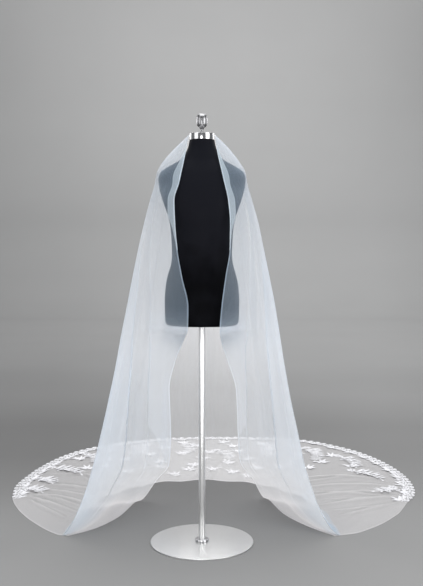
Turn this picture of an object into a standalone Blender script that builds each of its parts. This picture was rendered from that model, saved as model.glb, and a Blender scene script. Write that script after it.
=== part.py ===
"""A floor-length cathedral veil of tulle with a lace hem, draped round a limbless dress form stand.

The origin is the centre of the base disc's underside, +Z is up and -Y faces the viewer.
"""

import math

import bmesh
import bpy
import numpy as np

# Driving sizes, in metres
PIECE_GAP = 0.0003
CLOTH_WALL = 0.0012
LACE_WALL = 0.0014
SPRAY_WALL = 0.0010
CLEAR_OF_FORM = 0.004
TURN_GAP = 0.0014
TRAIN_SEAM_GAP = 0.0006

# Stand, in metres
BASE_RADIUS = 0.2125
BASE_THICKNESS = 0.005
BASE_EDGE_ROUND = 0.0015
COLLAR_RADIUS = 0.0285
COLLAR_HEIGHT = 0.010
COLLAR_BEVEL = 0.003
POLE_RADIUS = 0.0135
FORM_BOTTOM = 0.897
NECK_TOP = 1.662
CAP_RADIUS = 0.0525
CAP_TOP = 1.689
CAP_BEVEL = 0.004
STEM_RADIUS = 0.0115
STEM_TOP = 1.714
FINIAL_RADIUS = 0.023
FINIAL_TOP = 1.772
# Finial: radius with the drop below its top, then radius with the rise above its foot
FINIAL_CROWN = ((0.012, 0.001), (0.019, 0.007), (FINIAL_RADIUS, 0.016))
FINIAL_BOWL = ((FINIAL_RADIUS, 0.012), (0.017, 0.002), (0.012, 0.0))

# Dress form: height, half width, reach to the front and to the back
FORM_COLUMNS = ("height", "half_width", "front", "back")
FORM_SECTIONS = (
    (FORM_BOTTOM, 0.136, 0.092, 0.092),
    (0.901, 0.146, 0.101, 0.101),
    (0.912, 0.151, 0.105, 0.105),
    (1.000, 0.154, 0.108, 0.108),
    (1.059, 0.150, 0.104, 0.100),
    (1.104, 0.141, 0.098, 0.089),
    (1.150, 0.128, 0.091, 0.080),
    (1.187, 0.124, 0.088, 0.077),
    (1.224, 0.125, 0.091, 0.078),
    (1.290, 0.129, 0.103, 0.085),
    (1.340, 0.138, 0.114, 0.092),
    (1.373, 0.149, 0.116, 0.097),
    (1.414, 0.163, 0.112, 0.102),
    (1.468, 0.177, 0.101, 0.102),
    (1.505, 0.180, 0.090, 0.097),
    (1.527, 0.172, 0.083, 0.092),
    (1.545, 0.150, 0.076, 0.086),
    (1.560, 0.124, 0.070, 0.080),
    (1.580, 0.090, 0.063, 0.072),
    (1.605, 0.066, 0.058, 0.062),
    (1.635, 0.054, 0.053, 0.054),
    (NECK_TOP, 0.0515, 0.0515, 0.0515),
)
FORM_SQUARENESS = 2.3
ROUND_SQUARENESS = 2.0
NECK_ROUND_ABOVE = 1.6
FORM_SIDES = 28
FORM_FOOT_ROUNDED_TO = 0.912
SKIRT_BELOW_FORM = 0.05

# Fall of the veil: one row a level. The ridge is the outermost fold on each side, the edge is
# the free front edge, and the back is how far the sheet stands behind the pole.
FALL_COLUMNS = (
    "height", "ridge_y", "back_y",
    "ridge_left", "edge_left_x", "edge_left_y", "edge_left_z",
    "ridge_right", "edge_right_x", "edge_right_y", "edge_right_z",
)
FALL_LEVELS = (
    (1.684, 0.000, 0.0531, -0.0531, -0.0517, -0.012, 1.684, 0.0531, 0.0517, -0.012, 1.684),
    (1.650, 0.000, 0.062, -0.090, -0.060, -0.032, 1.650, 0.090, 0.058, -0.032, 1.650),
    (1.610, 0.000, 0.077, -0.130, -0.066, -0.054, 1.610, 0.126, 0.063, -0.054, 1.610),
    (1.570, 0.000, 0.091, -0.163, -0.073, -0.072, 1.570, 0.156, 0.071, -0.072, 1.570),
    (1.530, 0.000, 0.103, -0.186, -0.081, -0.086, 1.530, 0.179, 0.080, -0.086, 1.530),
    (1.480, 0.000, 0.113, -0.196, -0.091, -0.100, 1.480, 0.188, 0.091, -0.100, 1.480),
    (1.410, 0.000, 0.125, -0.216, -0.110, -0.111, 1.410, 0.208, 0.106, -0.111, 1.410),
    (1.320, 0.000, 0.145, -0.239, -0.107, -0.112, 1.320, 0.233, 0.114, -0.112, 1.320),
    (1.220, 0.000, 0.180, -0.262, -0.099, -0.108, 1.220, 0.254, 0.113, -0.108, 1.220),
    (1.100, 0.005, 0.235, -0.287, -0.078, -0.114, 1.100, 0.279, 0.095, -0.114, 1.100),
    (0.980, 0.010, 0.297, -0.311, -0.053, -0.119, 0.980, 0.303, 0.079, -0.119, 0.980),
    (0.890, 0.014, 0.345, -0.329, -0.055, -0.118, 0.890, 0.318, 0.072, -0.118, 0.890),
    (0.845, 0.015, 0.370, -0.338, -0.072, -0.060, 0.845, 0.325, 0.077, -0.060, 0.845),
    (0.720, 0.021, 0.440, -0.361, -0.117, 0.108, 0.722, 0.345, 0.108, 0.090, 0.732),
    (0.580, 0.027, 0.520, -0.391, -0.147, 0.270, 0.575, 0.371, 0.147, 0.260, 0.582),
    (0.440, 0.036, 0.603, -0.423, -0.146, 0.395, 0.370, 0.402, 0.159, 0.395, 0.370),
    (0.310, 0.047, 0.686, -0.456, -0.158, 0.480, 0.200, 0.429, 0.170, 0.470, 0.220),
    (0.200, 0.057, 0.762, -0.489, -0.230, 0.560, 0.090, 0.464, 0.240, 0.560, 0.100),
    (0.120, 0.063, 0.825, -0.519, -0.310, 0.560, 0.000, 0.493, 0.302, 0.600, 0.000),
    (0.060, 0.068, 0.873, -0.547, -0.378, 0.320, 0.000, 0.525, 0.368, 0.360, 0.000),
    (0.020, 0.072, 0.903, -0.571, -0.476, 0.146, 0.000, 0.553, 0.470, 0.172, 0.000),
    (0.000, 0.076, 0.915, -0.586, -0.566, 0.070, 0.000, 0.582, 0.560, 0.066, 0.000),
)
BACK_SQUARENESS = 2.25
FRONT_BOW = 0.10
FRONT_BOW_FOOT = 0.9
FRONT_BOW_FULL = 1.3

# Outline of the train on the floor: places in x and y, from each tip back to the lace, and
# along the lace from left to right
LEFT_PLAIN_EDGE = (
    (-0.586, 0.076), (-0.617, 0.085), (-0.689, 0.163), (-0.801, 0.321), (-0.881, 0.475), (-0.924, 0.592),
)
RIGHT_PLAIN_EDGE = (
    (0.582, 0.076), (0.648, 0.095), (0.713, 0.146), (0.803, 0.238), (0.900, 0.375), (0.972, 0.529),
)
LACE_HEM = (
    (-0.924, 0.592), (-0.953, 0.795), (-0.937, 0.970), (-0.901, 1.170), (-0.830, 1.385), (-0.724, 1.566),
    (-0.560, 1.710), (-0.330, 1.830), (-0.027, 1.891), (0.310, 1.880), (0.591, 1.823), (0.763, 1.690),
    (0.912, 1.495), (1.010, 1.260), (1.060, 1.010), (1.061, 0.795), (1.030, 0.640), (0.972, 0.529),
)

LACE_HEM_LENGTH = 4.0

# Grid of the sheet: cells across each stretch, and rows down the fall and along the train
FRONT_CELLS = 8
HALF_BACK_CELLS = 20
CELLS_ROUND_RIDGE = 2
ROW_HEIGHTS = (
    1.684, 1.645, 1.605, 1.570, 1.540, 1.514, 1.485, 1.430, 1.340, 1.240, 1.130, 1.020,
    0.925, 0.845, 0.740, 0.620, 0.500, 0.380, 0.270, 0.170, 0.085, 0.030, 0.0,
)
TRAIN_ROWS = 6
EDGE_BOW_POWER = 6

# Gathers: waves across each half of the back, and how far they stand out at each height
GATHERS_PER_HALF = 5
GATHER_SHIFT = {"left": 0.35, "right": 0.15}
GATHER_WANDER = 0.03
GATHER_WANDER_TURNS = 1.3
GATHER_UNEVEN = 0.25
GATHER_UNEVEN_TURNS = 2.2
GATHER_FADE_IN = 4.0
FRONT_PLEATS = 2
GATHER_COLUMNS = ("height", "back_reach", "front_reach")
GATHER_REACH = (
    (1.684, 0.0, 0.0), (1.500, 0.001, 0.0), (1.350, 0.004, 0.001), (1.150, 0.008, 0.002),
    (0.900, 0.012, 0.006), (0.500, 0.017, 0.010), (0.200, 0.020, 0.007), (0.060, 0.018, 0.002),
    (0.000, 0.014, 0.0),
)
TRAIN_FOLD_HEIGHT = 0.011
TRAIN_FOLD_END = 0.34
TRAIN_FOLD_FADE_IN = 8.0

# Turned-back front edge: height, width on the left and on the right
TURN_COLUMNS = ("height", "left", "right")
TURN_WIDTHS = (
    (1.610, 0.006, 0.006), (1.570, 0.018, 0.016), (1.490, 0.031, 0.026), (1.410, 0.030, 0.031),
    (1.365, 0.029, 0.026), (1.320, 0.020, 0.017), (1.280, 0.011, 0.008), (1.250, 0.006, 0.004),
)
TURN_ROWS_ABOVE = 0.01
TURN_ROWS_BELOW = 0.03

# Lace border and sprays
BORDER_WIDTH = 0.052
SCALLOPS_PER_STRETCH = 20
CELLS_PER_SCALLOP = 3
SCALLOP_DEPTH = 0.010
LEAVES_PER_SPRAY = 5
POINTS_PER_LEAF = 3
SPRAY_WIDTH = 0.095
SPRAY_STEM_WIDTH = 0.012
SPRAY_BEND = 0.12
SPRAY_TAPER_FROM = 0.12
SPRAY_TAPER_TO = 0.94
SPRAY_TAPER_POWER = 0.7
# Middle of each spray, the way that its stem points in degrees from +X, and its length
SPRAYS = (
    ("left_front", -0.845, 0.735, -40.0, 0.13),
    ("left_low", -0.815, 0.895, -53.0, 0.15),
    ("left_middle", -0.748, 1.090, -39.0, 0.25),
    ("left_back", -0.650, 1.360, -67.0, 0.24),
    ("back_left", -0.400, 1.530, -75.0, 0.27),
    ("back_middle", -0.120, 1.610, -85.0, 0.27),
    ("back_inner", 0.100, 1.430, -76.0, 0.28),
    ("back_right", 0.350, 1.600, -95.0, 0.27),
    ("right_back", 0.610, 1.460, -88.0, 0.34),
    ("right_middle", 0.800, 1.290, -75.0, 0.25),
    ("right_low", 0.855, 1.010, -55.0, 0.24),
    ("right_front", 0.900, 0.740, -140.0, 0.14),
)

PARTS = bpy.data.collections.new("cathedral_veil_on_dress_form")


def clear_scene():
    for item in list(bpy.data.objects):
        bpy.data.objects.remove(item, do_unlink=True)


def material(name, colour, roughness, metallic=0.0, alpha=1.0):
    """Return the named Principled material, made on first use."""
    found = bpy.data.materials.get(name)
    if found:
        return found
    made = bpy.data.materials.new(name)
    made.use_nodes = True
    shader = made.node_tree.nodes["Principled BSDF"]
    shader.inputs["Base Color"].default_value = (*colour, 1.0)
    shader.inputs["Roughness"].default_value = roughness
    shader.inputs["Metallic"].default_value = metallic
    shader.inputs["Alpha"].default_value = alpha
    return made


def tulle():
    return material("tulle", (0.80, 0.82, 0.86), 0.85, alpha=0.45)


def lace():
    return material("lace", (0.86, 0.86, 0.90), 0.80)


def satin():
    return material("black_satin", (0.010, 0.011, 0.016), 0.38)


def chrome():
    return material("chrome", (0.80, 0.80, 0.80), 0.12, metallic=1.0)


def brushed_steel():
    return material("brushed_steel", (0.62, 0.62, 0.63), 0.30, metallic=1.0)


def add_part(name, mesh, finish, smooth_angle=40.0):
    """Put a mesh in the parts collection under its node name."""
    made = bpy.data.objects.new(name, mesh)
    PARTS.objects.link(made)
    mesh.materials.append(finish)
    mesh.shade_smooth()
    mesh.set_sharp_from_angle(angle=math.radians(smooth_angle))
    return made


def table(rows, columns, name):
    """Return one named column of a table as an array."""
    return np.array([row[columns.index(name)] for row in rows], float)


def smooth_read(rows, columns, name, key, at):
    """Read a column at given key values along a curve through its rows, with no overshoot."""
    keys = table(rows, columns, key)
    values = table(rows, columns, name)
    order = np.argsort(keys)
    keys = keys[order]
    values = values[order]
    steps = np.diff(keys)
    slopes = np.diff(values) / steps
    tangents = np.zeros(len(keys))
    tangents[0] = slopes[0]
    tangents[-1] = slopes[-1]
    for i in range(1, len(keys) - 1):
        if slopes[i - 1] * slopes[i] > 0.0:
            left = 2.0 * steps[i] + steps[i - 1]
            right = steps[i] + 2.0 * steps[i - 1]
            tangents[i] = (left + right) / (left / slopes[i - 1] + right / slopes[i])
    at = np.clip(np.asarray(at, float), keys[0], keys[-1])
    cell = np.clip(np.searchsorted(keys, at, side="right") - 1, 0, len(keys) - 2)
    t = (at - keys[cell]) / steps[cell]
    rest = 1.0 - t
    first = (1.0 + 2.0 * t) * rest**2 * values[cell] + t * rest**2 * steps[cell] * tangents[cell]
    last = (1.0 + 2.0 * rest) * t**2 * values[cell + 1]
    return first + last - rest * t**2 * steps[cell] * tangents[cell + 1]


def curve_points(points, fractions):
    """Points at the given fractions of the length of a smooth curve through the given points."""
    points = np.array(points, float)
    ends = np.vstack([2 * points[0] - points[1], points, 2 * points[-1] - points[-2]])
    dense = []
    for i in range(1, len(ends) - 2):
        before, here, after, beyond = ends[i - 1:i + 3]
        for t in np.linspace(0.0, 1.0, 16, endpoint=False):
            straight = 2.0 * here + (after - before) * t
            bend = (2.0 * before - 5.0 * here + 4.0 * after - beyond) * t**2
            twist = (3.0 * here - before - 3.0 * after + beyond) * t**3
            dense.append(0.5 * (straight + bend + twist))
    dense.append(points[-1])
    dense = np.array(dense)
    lengths = np.concatenate([[0.0], np.cumsum(np.linalg.norm(np.diff(dense, axis=0), axis=1))])
    at = np.asarray(fractions, float) * lengths[-1]
    return np.stack([np.interp(at, lengths, dense[:, i]) for i in range(dense.shape[1])], axis=-1)


def read_at(rows, columns, height):
    """Every column of a table at one height, by name."""
    return {name: float(smooth_read(rows, columns, name, "height", height)) for name in columns}


def outside_form(point, margin):
    """Move a point straight out, away from the pole's axis, until it clears the dress form."""
    height = point[2]
    if not FORM_BOTTOM - SKIRT_BELOW_FORM < height < NECK_TOP:
        return point
    form = read_at(FORM_SECTIONS, FORM_COLUMNS, max(height, FORM_FOOT_ROUNDED_TO))
    across = abs(point[0]) / (form["half_width"] + margin)
    deep = abs(point[1]) / ((form["front"] if point[1] < 0.0 else form["back"]) + margin)
    ratio = (across**FORM_SQUARENESS + deep**FORM_SQUARENESS) ** (1.0 / FORM_SQUARENESS)
    if ratio >= 1.0:
        return point
    return np.array([point[0] / ratio, point[1] / ratio, height])


def fall_row(height):
    """One row of the sheet, from the left front edge round the back to the right front edge."""
    read = read_at(FALL_LEVELS, FALL_COLUMNS, height)
    reach = read_at(GATHER_REACH, GATHER_COLUMNS, height)
    bow_share = (height - FRONT_BOW_FOOT) / (FRONT_BOW_FULL - FRONT_BOW_FOOT)
    bow_share = FRONT_BOW * max(0.0, min(1.0, bow_share))
    halves = []
    for side in ("left", "right"):
        ridge = np.array([read["ridge_" + side], read["ridge_y"], height])
        edge = np.array([read["edge_" + side + "_" + axis] for axis in "xyz"])
        sign = -1.0 if side == "left" else 1.0
        across = ridge - edge
        outward = np.array([across[1], -across[0], 0.0]) * sign
        outward /= np.linalg.norm(outward) + 1e-9
        points = []
        for cell in range(FRONT_CELLS):
            t = cell / FRONT_CELLS
            bow = bow_share * np.linalg.norm(across)
            pleat = reach["front_reach"] * math.sin(2.0 * math.pi * FRONT_PLEATS * t)
            points.append(edge + across * t + outward * (bow + pleat) * math.sin(math.pi * t))
        for cell in range(HALF_BACK_CELLS + 1):
            t = cell / HALF_BACK_CELLS
            angle = 0.5 * math.pi * t
            x = abs(ridge[0]) * math.cos(angle) ** (2.0 / BACK_SQUARENESS)
            y = ridge[1] + (read["back_y"] - ridge[1]) * math.sin(angle) ** (2.0 / BACK_SQUARENESS)
            nudge = reach["back_reach"] * gather_wave(t, side) * min(1.0, GATHER_FADE_IN * t)
            x += nudge * math.cos(angle)
            y += nudge * math.sin(angle)
            points.append(np.array([sign * x, y, height]))
        halves.append(points)
    row = halves[0] + halves[1][-2::-1]
    return [outside_form(point, CLEAR_OF_FORM) for point in row]


def gather_wave(t, side):
    """Uneven gathers across half the back: t runs from the ridge to the centre back."""
    full_turn = 2.0 * math.pi
    shift = GATHER_SHIFT[side]
    wander = GATHER_WANDER * math.sin(full_turn * (GATHER_WANDER_TURNS * t + shift)) * math.sin(math.pi * t)
    uneven = GATHER_UNEVEN * math.sin(full_turn * (GATHER_UNEVEN_TURNS * t + shift))
    return (1.0 - GATHER_UNEVEN + uneven) * math.cos(full_turn * GATHERS_PER_HALF * (t + wander))


def train_rows(first_row):
    """Rows of the train on the floor, from the touch-down line out to the lace border's seam."""
    count = len(first_row)
    fractions = np.linspace(0.0, 1.0, count)
    outer = hem_line(fractions, BORDER_WIDTH + PIECE_GAP)
    rows = []
    for step in range(1, TRAIN_ROWS + 1):
        s = step / TRAIN_ROWS
        left = curve_points(LEFT_PLAIN_EDGE, [s])[0]
        right = curve_points(RIGHT_PLAIN_EDGE, [s])[0]
        left_bow = left - (first_row[0][:2] * (1 - s) + np.array(LEFT_PLAIN_EDGE[-1]) * s)
        right_bow = right - (first_row[-1][:2] * (1 - s) + np.array(RIGHT_PLAIN_EDGE[-1]) * s)
        row = []
        for i, t in enumerate(fractions):
            flat = first_row[i][:2] * (1 - s) + outer[i] * s
            flat = flat + left_bow * (1 - t) ** EDGE_BOW_POWER + right_bow * t**EDGE_BOW_POWER
            side = "left" if t < 0.5 else "right"
            half = 2.0 * t if t < 0.5 else 2.0 - 2.0 * t
            crest = max(0.0, gather_wave(half, side)) * min(1.0, TRAIN_FOLD_FADE_IN * half)
            height = TRAIN_FOLD_HEIGHT * crest * math.sin(math.pi * min(1.0, s / TRAIN_FOLD_END))
            row.append(np.array([flat[0], flat[1], max(0.0, height)]))
        rows.append(row)
    return rows


def hem_line(fractions, inset):
    """Points along the lace hem, moved in by the inset."""
    points = curve_points(LACE_HEM, fractions)
    step = 1e-3
    ahead = curve_points(LACE_HEM, np.minimum(np.asarray(fractions) + step, 1.0))
    behind = curve_points(LACE_HEM, np.maximum(np.asarray(fractions) - step, 0.0))
    along = ahead - behind
    along /= np.linalg.norm(along, axis=1)[:, None]
    inward = np.stack([along[:, 1], -along[:, 0]], axis=1)
    inset = np.broadcast_to(np.asarray(inset, float), (len(points),))
    return points + inward * inset[:, None]


def seam_line(fractions):
    """Points along the straight cells of the train's outer edge, where the border is sewn on."""
    corners = np.linspace(0.0, 1.0, 2 * HALF_BACK_CELLS + 1)
    seam = hem_line(corners, BORDER_WIDTH)
    return np.stack([np.interp(fractions, corners, seam[:, i]) for i in range(2)], axis=1)


def grid_normals(grid):
    """Outward unit normal at each grid point, from the neighbouring points."""
    down = np.gradient(grid, axis=0)
    across = np.gradient(grid, axis=1)
    normals = np.cross(across, down)
    lengths = np.linalg.norm(normals, axis=2, keepdims=True)
    return normals / np.maximum(lengths, 1e-12)


def wall_mesh(name, inner, outer):
    """Closed wall between two matching grids of points. Its rim is split into triangles from the
    lower row and column to the higher, so that the two walls at a seam have parallel rims."""
    rows, columns = inner.shape[:2]
    mesh = bpy.data.meshes.new(name)
    shape = bmesh.new()
    low = [[shape.verts.new(point) for point in row] for row in inner]
    high = [[shape.verts.new(point) for point in row] for row in outer]
    for i in range(rows - 1):
        for j in range(columns - 1):
            shape.faces.new((low[i][j], low[i + 1][j], low[i + 1][j + 1], low[i][j + 1]))
            shape.faces.new((high[i][j], high[i][j + 1], high[i + 1][j + 1], high[i + 1][j]))
    border = [(0, j) for j in range(columns)] + [(i, columns - 1) for i in range(1, rows)]
    border += [(rows - 1, j) for j in range(columns - 2, -1, -1)] + [(i, 0) for i in range(rows - 2, 0, -1)]
    for pair in zip(border, border[1:] + border[:1]):
        (a, b), (c, d) = sorted(pair)
        shape.faces.new((low[a][b], low[c][d], high[c][d]))
        shape.faces.new((low[a][b], high[c][d], high[a][b]))
    bmesh.ops.recalc_face_normals(shape, faces=shape.faces)
    bmesh.ops.triangulate(shape, faces=shape.faces)
    shape.to_mesh(mesh)
    shape.free()
    return mesh


def trimmed(grid, normals, rows, columns):
    """A stretch of the sheet, drawn in by half the seam gap on each side that has a neighbour."""
    top, bottom = rows
    left, right = columns
    part = grid[top:bottom + 1, left:right + 1].copy()
    own = normals[top:bottom + 1, left:right + 1].copy()
    if top > 0:
        part[0] += seam_step(part[0], part[1])
    if bottom < len(grid) - 1:
        part[-1] += seam_step(part[-1], part[-2])
    if left > 0:
        part[:, 0] += seam_step(part[:, 0], part[:, 1])
    if right < grid.shape[1] - 1:
        part[:, -1] += seam_step(part[:, -1], part[:, -2])
    return part, own


def seam_step(line, inside, length=0.5 * PIECE_GAP):
    """Half a seam gap, or the length given, from each point of a line towards its match inside."""
    step = inside - line
    return length * step / np.linalg.norm(step, axis=1)[:, None]


def add_cloth(name, grid, normals, rows, columns):
    """One stretch of the sheet as a closed wall."""
    part, own = trimmed(grid, normals, rows, columns)
    outer = part + own * CLOTH_WALL
    outer[..., 2] = np.maximum(outer[..., 2], part[..., 2])
    add_part(name, wall_mesh(name, part, outer), tulle())


def add_veil():
    """The sheet of tulle, in the stretches that show."""
    fall = np.array([fall_row(height) for height in ROW_HEIGHTS])
    normals = grid_normals(fall)
    last = 2 * (FRONT_CELLS + HALF_BACK_CELLS)
    ridge = FRONT_CELLS
    turn = ridge + CELLS_ROUND_RIDGE
    corner = ridge + HALF_BACK_CELLS // 2
    for name, first, end in (
        ("veil_front_left", 0, turn),
        ("veil_side_left", turn, corner),
        ("veil_back", corner, last - corner),
        ("veil_side_right", last - corner, last - turn),
        ("veil_front_right", last - turn, last),
    ):
        add_cloth(name, fall, normals, (0, len(ROW_HEIGHTS) - 2), (first, end))
    touch = list(fall[-1, ridge:last - ridge + 1])
    train = np.array([fall[-2, ridge:last - ridge + 1], touch] + train_rows(touch))
    add_train(train)
    return fall, normals


def add_train(train):
    """The train, from just above the floor out to the border, in three stretches."""
    upward = np.array([0.0, 0.0, 1.0])
    normals = grid_normals(train)
    normals[1] = 0.5 * (normals[1] + upward)
    normals[2:] = upward
    normals /= np.linalg.norm(normals, axis=2, keepdims=True)
    train[0] += seam_step(train[0], train[1], TRAIN_SEAM_GAP)
    across = train.shape[1] - 1
    third = across // 3
    for name, first, end in (
        ("train_left", 0, third),
        ("train_back", third, across - third),
        ("train_right", across - third, across),
    ):
        add_cloth(name, train, normals, (0, len(train) - 1), (first, end))


def add_border():
    """Lace border sewn to the edge of the train, scalloped outside and waved inside."""
    half_gap = 0.5 * PIECE_GAP / LACE_HEM_LENGTH
    names = ("lace_border_left", "lace_border_back_left", "lace_border_back_right", "lace_border_right")
    for index, name in enumerate(names):
        cells = SCALLOPS_PER_STRETCH * CELLS_PER_SCALLOP
        fractions = np.linspace(index / 4, (index + 1) / 4, cells + 1)
        fractions[0] += half_gap * (index > 0)
        fractions[-1] -= half_gap * (index < 3)
        phase = np.arange(cells + 1) / CELLS_PER_SCALLOP
        outer = hem_line(fractions, SCALLOP_DEPTH * (1.0 - np.abs(np.sin(math.pi * phase))))
        inner = seam_line(fractions)
        flat = np.array([inner, outer])
        low = np.concatenate([flat, np.zeros((2, cells + 1, 1))], axis=2)
        high = low + np.array([0.0, 0.0, LACE_WALL])
        add_part(name, wall_mesh(name, low, high), lace())


def add_turned_edges(fall, normals):
    """The front edges turned back on themselves over the chest, made from the sheet's points."""
    heights = np.array(ROW_HEIGHTS)
    lift = CLOTH_WALL + TURN_GAP
    top = table(TURN_WIDTHS, TURN_COLUMNS, "height").max()
    low = table(TURN_WIDTHS, TURN_COLUMNS, "height").min()
    rows = np.flatnonzero((heights >= low - TURN_ROWS_BELOW) & (heights <= top + TURN_ROWS_ABOVE))
    for side in ("left", "right"):
        inner = []
        for i in rows:
            width = float(smooth_read(TURN_WIDTHS, TURN_COLUMNS, side, "height", heights[i]))
            inward = 1 if side == "left" else -1
            row = fall[i][::inward][:FRONT_CELLS]
            own = normals[i][::inward][:FRONT_CELLS]
            along = np.concatenate([[0.0], np.cumsum(np.linalg.norm(np.diff(row, axis=0), axis=1))])
            reach = np.array([0.0, 0.5 * width, width])
            points = np.stack([np.interp(reach, along, row[:, k]) for k in range(3)], axis=1)
            facing = np.stack([np.interp(reach, along, own[:, k]) for k in range(3)], axis=1)
            facing /= np.linalg.norm(facing, axis=1)[:, None]
            inner.append(points + facing * lift)
        inner = np.array(inner)
        outer = inner + grid_normals(inner) * inward * CLOTH_WALL
        name = "veil_turned_edge_" + side
        add_part(name, wall_mesh(name, inner, outer), tulle())


def add_form():
    """The dress form: a closed loft, because its sections go from squarish to round at the neck."""
    mesh = bpy.data.meshes.new("dress_form_torso")
    shape = bmesh.new()
    rings = []
    for height, half_width, front, back in FORM_SECTIONS:
        ring = []
        for side in range(FORM_SIDES):
            angle = 2.0 * math.pi * side / FORM_SIDES
            reach = back if math.sin(angle) > 0.0 else front
            power = 2.0 / (ROUND_SQUARENESS if height > NECK_ROUND_ABOVE else FORM_SQUARENESS)
            x = math.copysign(half_width * abs(math.cos(angle)) ** power, math.cos(angle))
            y = math.copysign(reach * abs(math.sin(angle)) ** power, math.sin(angle))
            ring.append(shape.verts.new((x, y, height)))
        rings.append(ring)
    for lower, upper in zip(rings, rings[1:]):
        for side in range(FORM_SIDES):
            after = (side + 1) % FORM_SIDES
            shape.faces.new((lower[side], lower[after], upper[after], upper[side]))
    shape.faces.new(rings[0][::-1])
    shape.faces.new(rings[-1])
    shape.to_mesh(mesh)
    shape.free()
    add_part("dress_form_torso", mesh, satin(), 50.0)


def turned(name, profile, finish, sides):
    """A turned piece: its profile of radius and height, top to bottom, with a Screw modifier."""
    mesh = bpy.data.meshes.new(name)
    places = [(radius, 0.0, height) for radius, height in profile]
    mesh.from_pydata(places, [(i, i + 1) for i in range(len(places) - 1)], [])
    made = bpy.data.objects.new(name, mesh)
    PARTS.objects.link(made)
    screw = made.modifiers.new("turn", "SCREW")
    screw.steps = sides
    screw.render_steps = sides
    screw.use_merge_vertices = True
    screw.merge_threshold = 0.0001
    mesh.materials.append(finish)
    return made


def add_stand():
    """Base disc, collar, pole, neck cap and finial, all turned about the pole's axis."""
    disc_edge = BASE_RADIUS - BASE_EDGE_ROUND
    turned("base_disc", (
        (0.0, BASE_THICKNESS), (disc_edge, BASE_THICKNESS),
        (BASE_RADIUS, BASE_THICKNESS - BASE_EDGE_ROUND), (BASE_RADIUS, 0.0), (0.0, 0.0),
    ), brushed_steel(), 64)
    collar_foot = BASE_THICKNESS + PIECE_GAP
    collar_top = collar_foot + COLLAR_HEIGHT
    turned("pole_collar", bevelled(COLLAR_RADIUS, collar_top, collar_foot, COLLAR_BEVEL), chrome(), 32)
    pole_foot = collar_top + PIECE_GAP
    pole_top = FORM_BOTTOM - PIECE_GAP
    turned("pole", plain(POLE_RADIUS, pole_top, pole_foot), chrome(), 24)
    cap_foot = NECK_TOP + PIECE_GAP
    turned("neck_cap", bevelled(CAP_RADIUS, CAP_TOP, cap_foot, CAP_BEVEL), chrome(), 48)
    stem_foot = CAP_TOP + PIECE_GAP
    turned("finial_stem", plain(STEM_RADIUS, STEM_TOP, stem_foot), chrome(), 24)
    finial_foot = STEM_TOP + PIECE_GAP
    crown = [(radius, FINIAL_TOP - drop) for radius, drop in FINIAL_CROWN]
    bowl = [(radius, finial_foot + rise) for radius, rise in FINIAL_BOWL]
    turned("finial", ((0.0, FINIAL_TOP), *crown, *bowl, (0.0, finial_foot)), chrome(), 32)


def plain(radius, top, foot):
    """Profile of a plain cylinder, top to bottom."""
    return (0.0, top), (radius, top), (radius, foot), (0.0, foot)


def bevelled(radius, top, foot, bevel):
    """Profile of a cylinder with a bevelled upper rim, top to bottom."""
    return (0.0, top), (radius - bevel, top), (radius, top - bevel), (radius, foot), (0.0, foot)


def spray_outline(x, y, heading, length):
    """Outline of a leafy branch: out along one side of a bent stem and back along the other."""
    count = LEAVES_PER_SPRAY * POINTS_PER_LEAF
    turn = math.radians(heading)
    sides = ([], [])
    for i in range(count + 1):
        t = i / count
        lobe = abs(math.sin(math.pi * LEAVES_PER_SPRAY * t))
        share = SPRAY_TAPER_FROM + (SPRAY_TAPER_TO - SPRAY_TAPER_FROM) * t
        taper = math.sin(math.pi * share) ** SPRAY_TAPER_POWER
        half = 0.5 * (SPRAY_STEM_WIDTH + (SPRAY_WIDTH - SPRAY_STEM_WIDTH) * lobe * taper)
        along = (t - 0.5) * length
        bow = SPRAY_BEND * length * (1.0 - 4.0 * (t - 0.5) ** 2)
        for points, sign in zip(sides, (1.0, -1.0)):
            aside = bow + sign * half
            points.append((
                x + along * math.cos(turn) - aside * math.sin(turn),
                y + along * math.sin(turn) + aside * math.cos(turn),
            ))
    return sides[1] + sides[0][::-1]


def add_sprays():
    """Leafy lace sprays, sewn flat on the train behind the border."""
    height = CLOTH_WALL + PIECE_GAP + 0.5 * SPRAY_WALL
    for name, x, y, heading, length in SPRAYS:
        curve = bpy.data.curves.new("lace_spray_" + name, "CURVE")
        curve.dimensions = "2D"
        curve.fill_mode = "BOTH"
        curve.extrude = 0.5 * SPRAY_WALL
        outline = spray_outline(x, y, heading, length)
        line = curve.splines.new("POLY")
        line.points.add(len(outline) - 1)
        for point, place in zip(line.points, outline):
            point.co = (*place, 0.0, 1.0)
        line.use_cyclic_u = True
        curve.materials.append(lace())
        made = bpy.data.objects.new("lace_spray_" + name, curve)
        made.location = (0.0, 0.0, height)
        PARTS.objects.link(made)


def main():
    clear_scene()
    bpy.context.scene.collection.children.link(PARTS)
    fall, normals = add_veil()
    add_turned_edges(fall, normals)
    add_border()
    add_sprays()
    add_form()
    add_stand()


main()
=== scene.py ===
import math

import bpy
import numpy as np
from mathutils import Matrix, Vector
from mathutils.bvhtree import BVHTree


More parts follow.
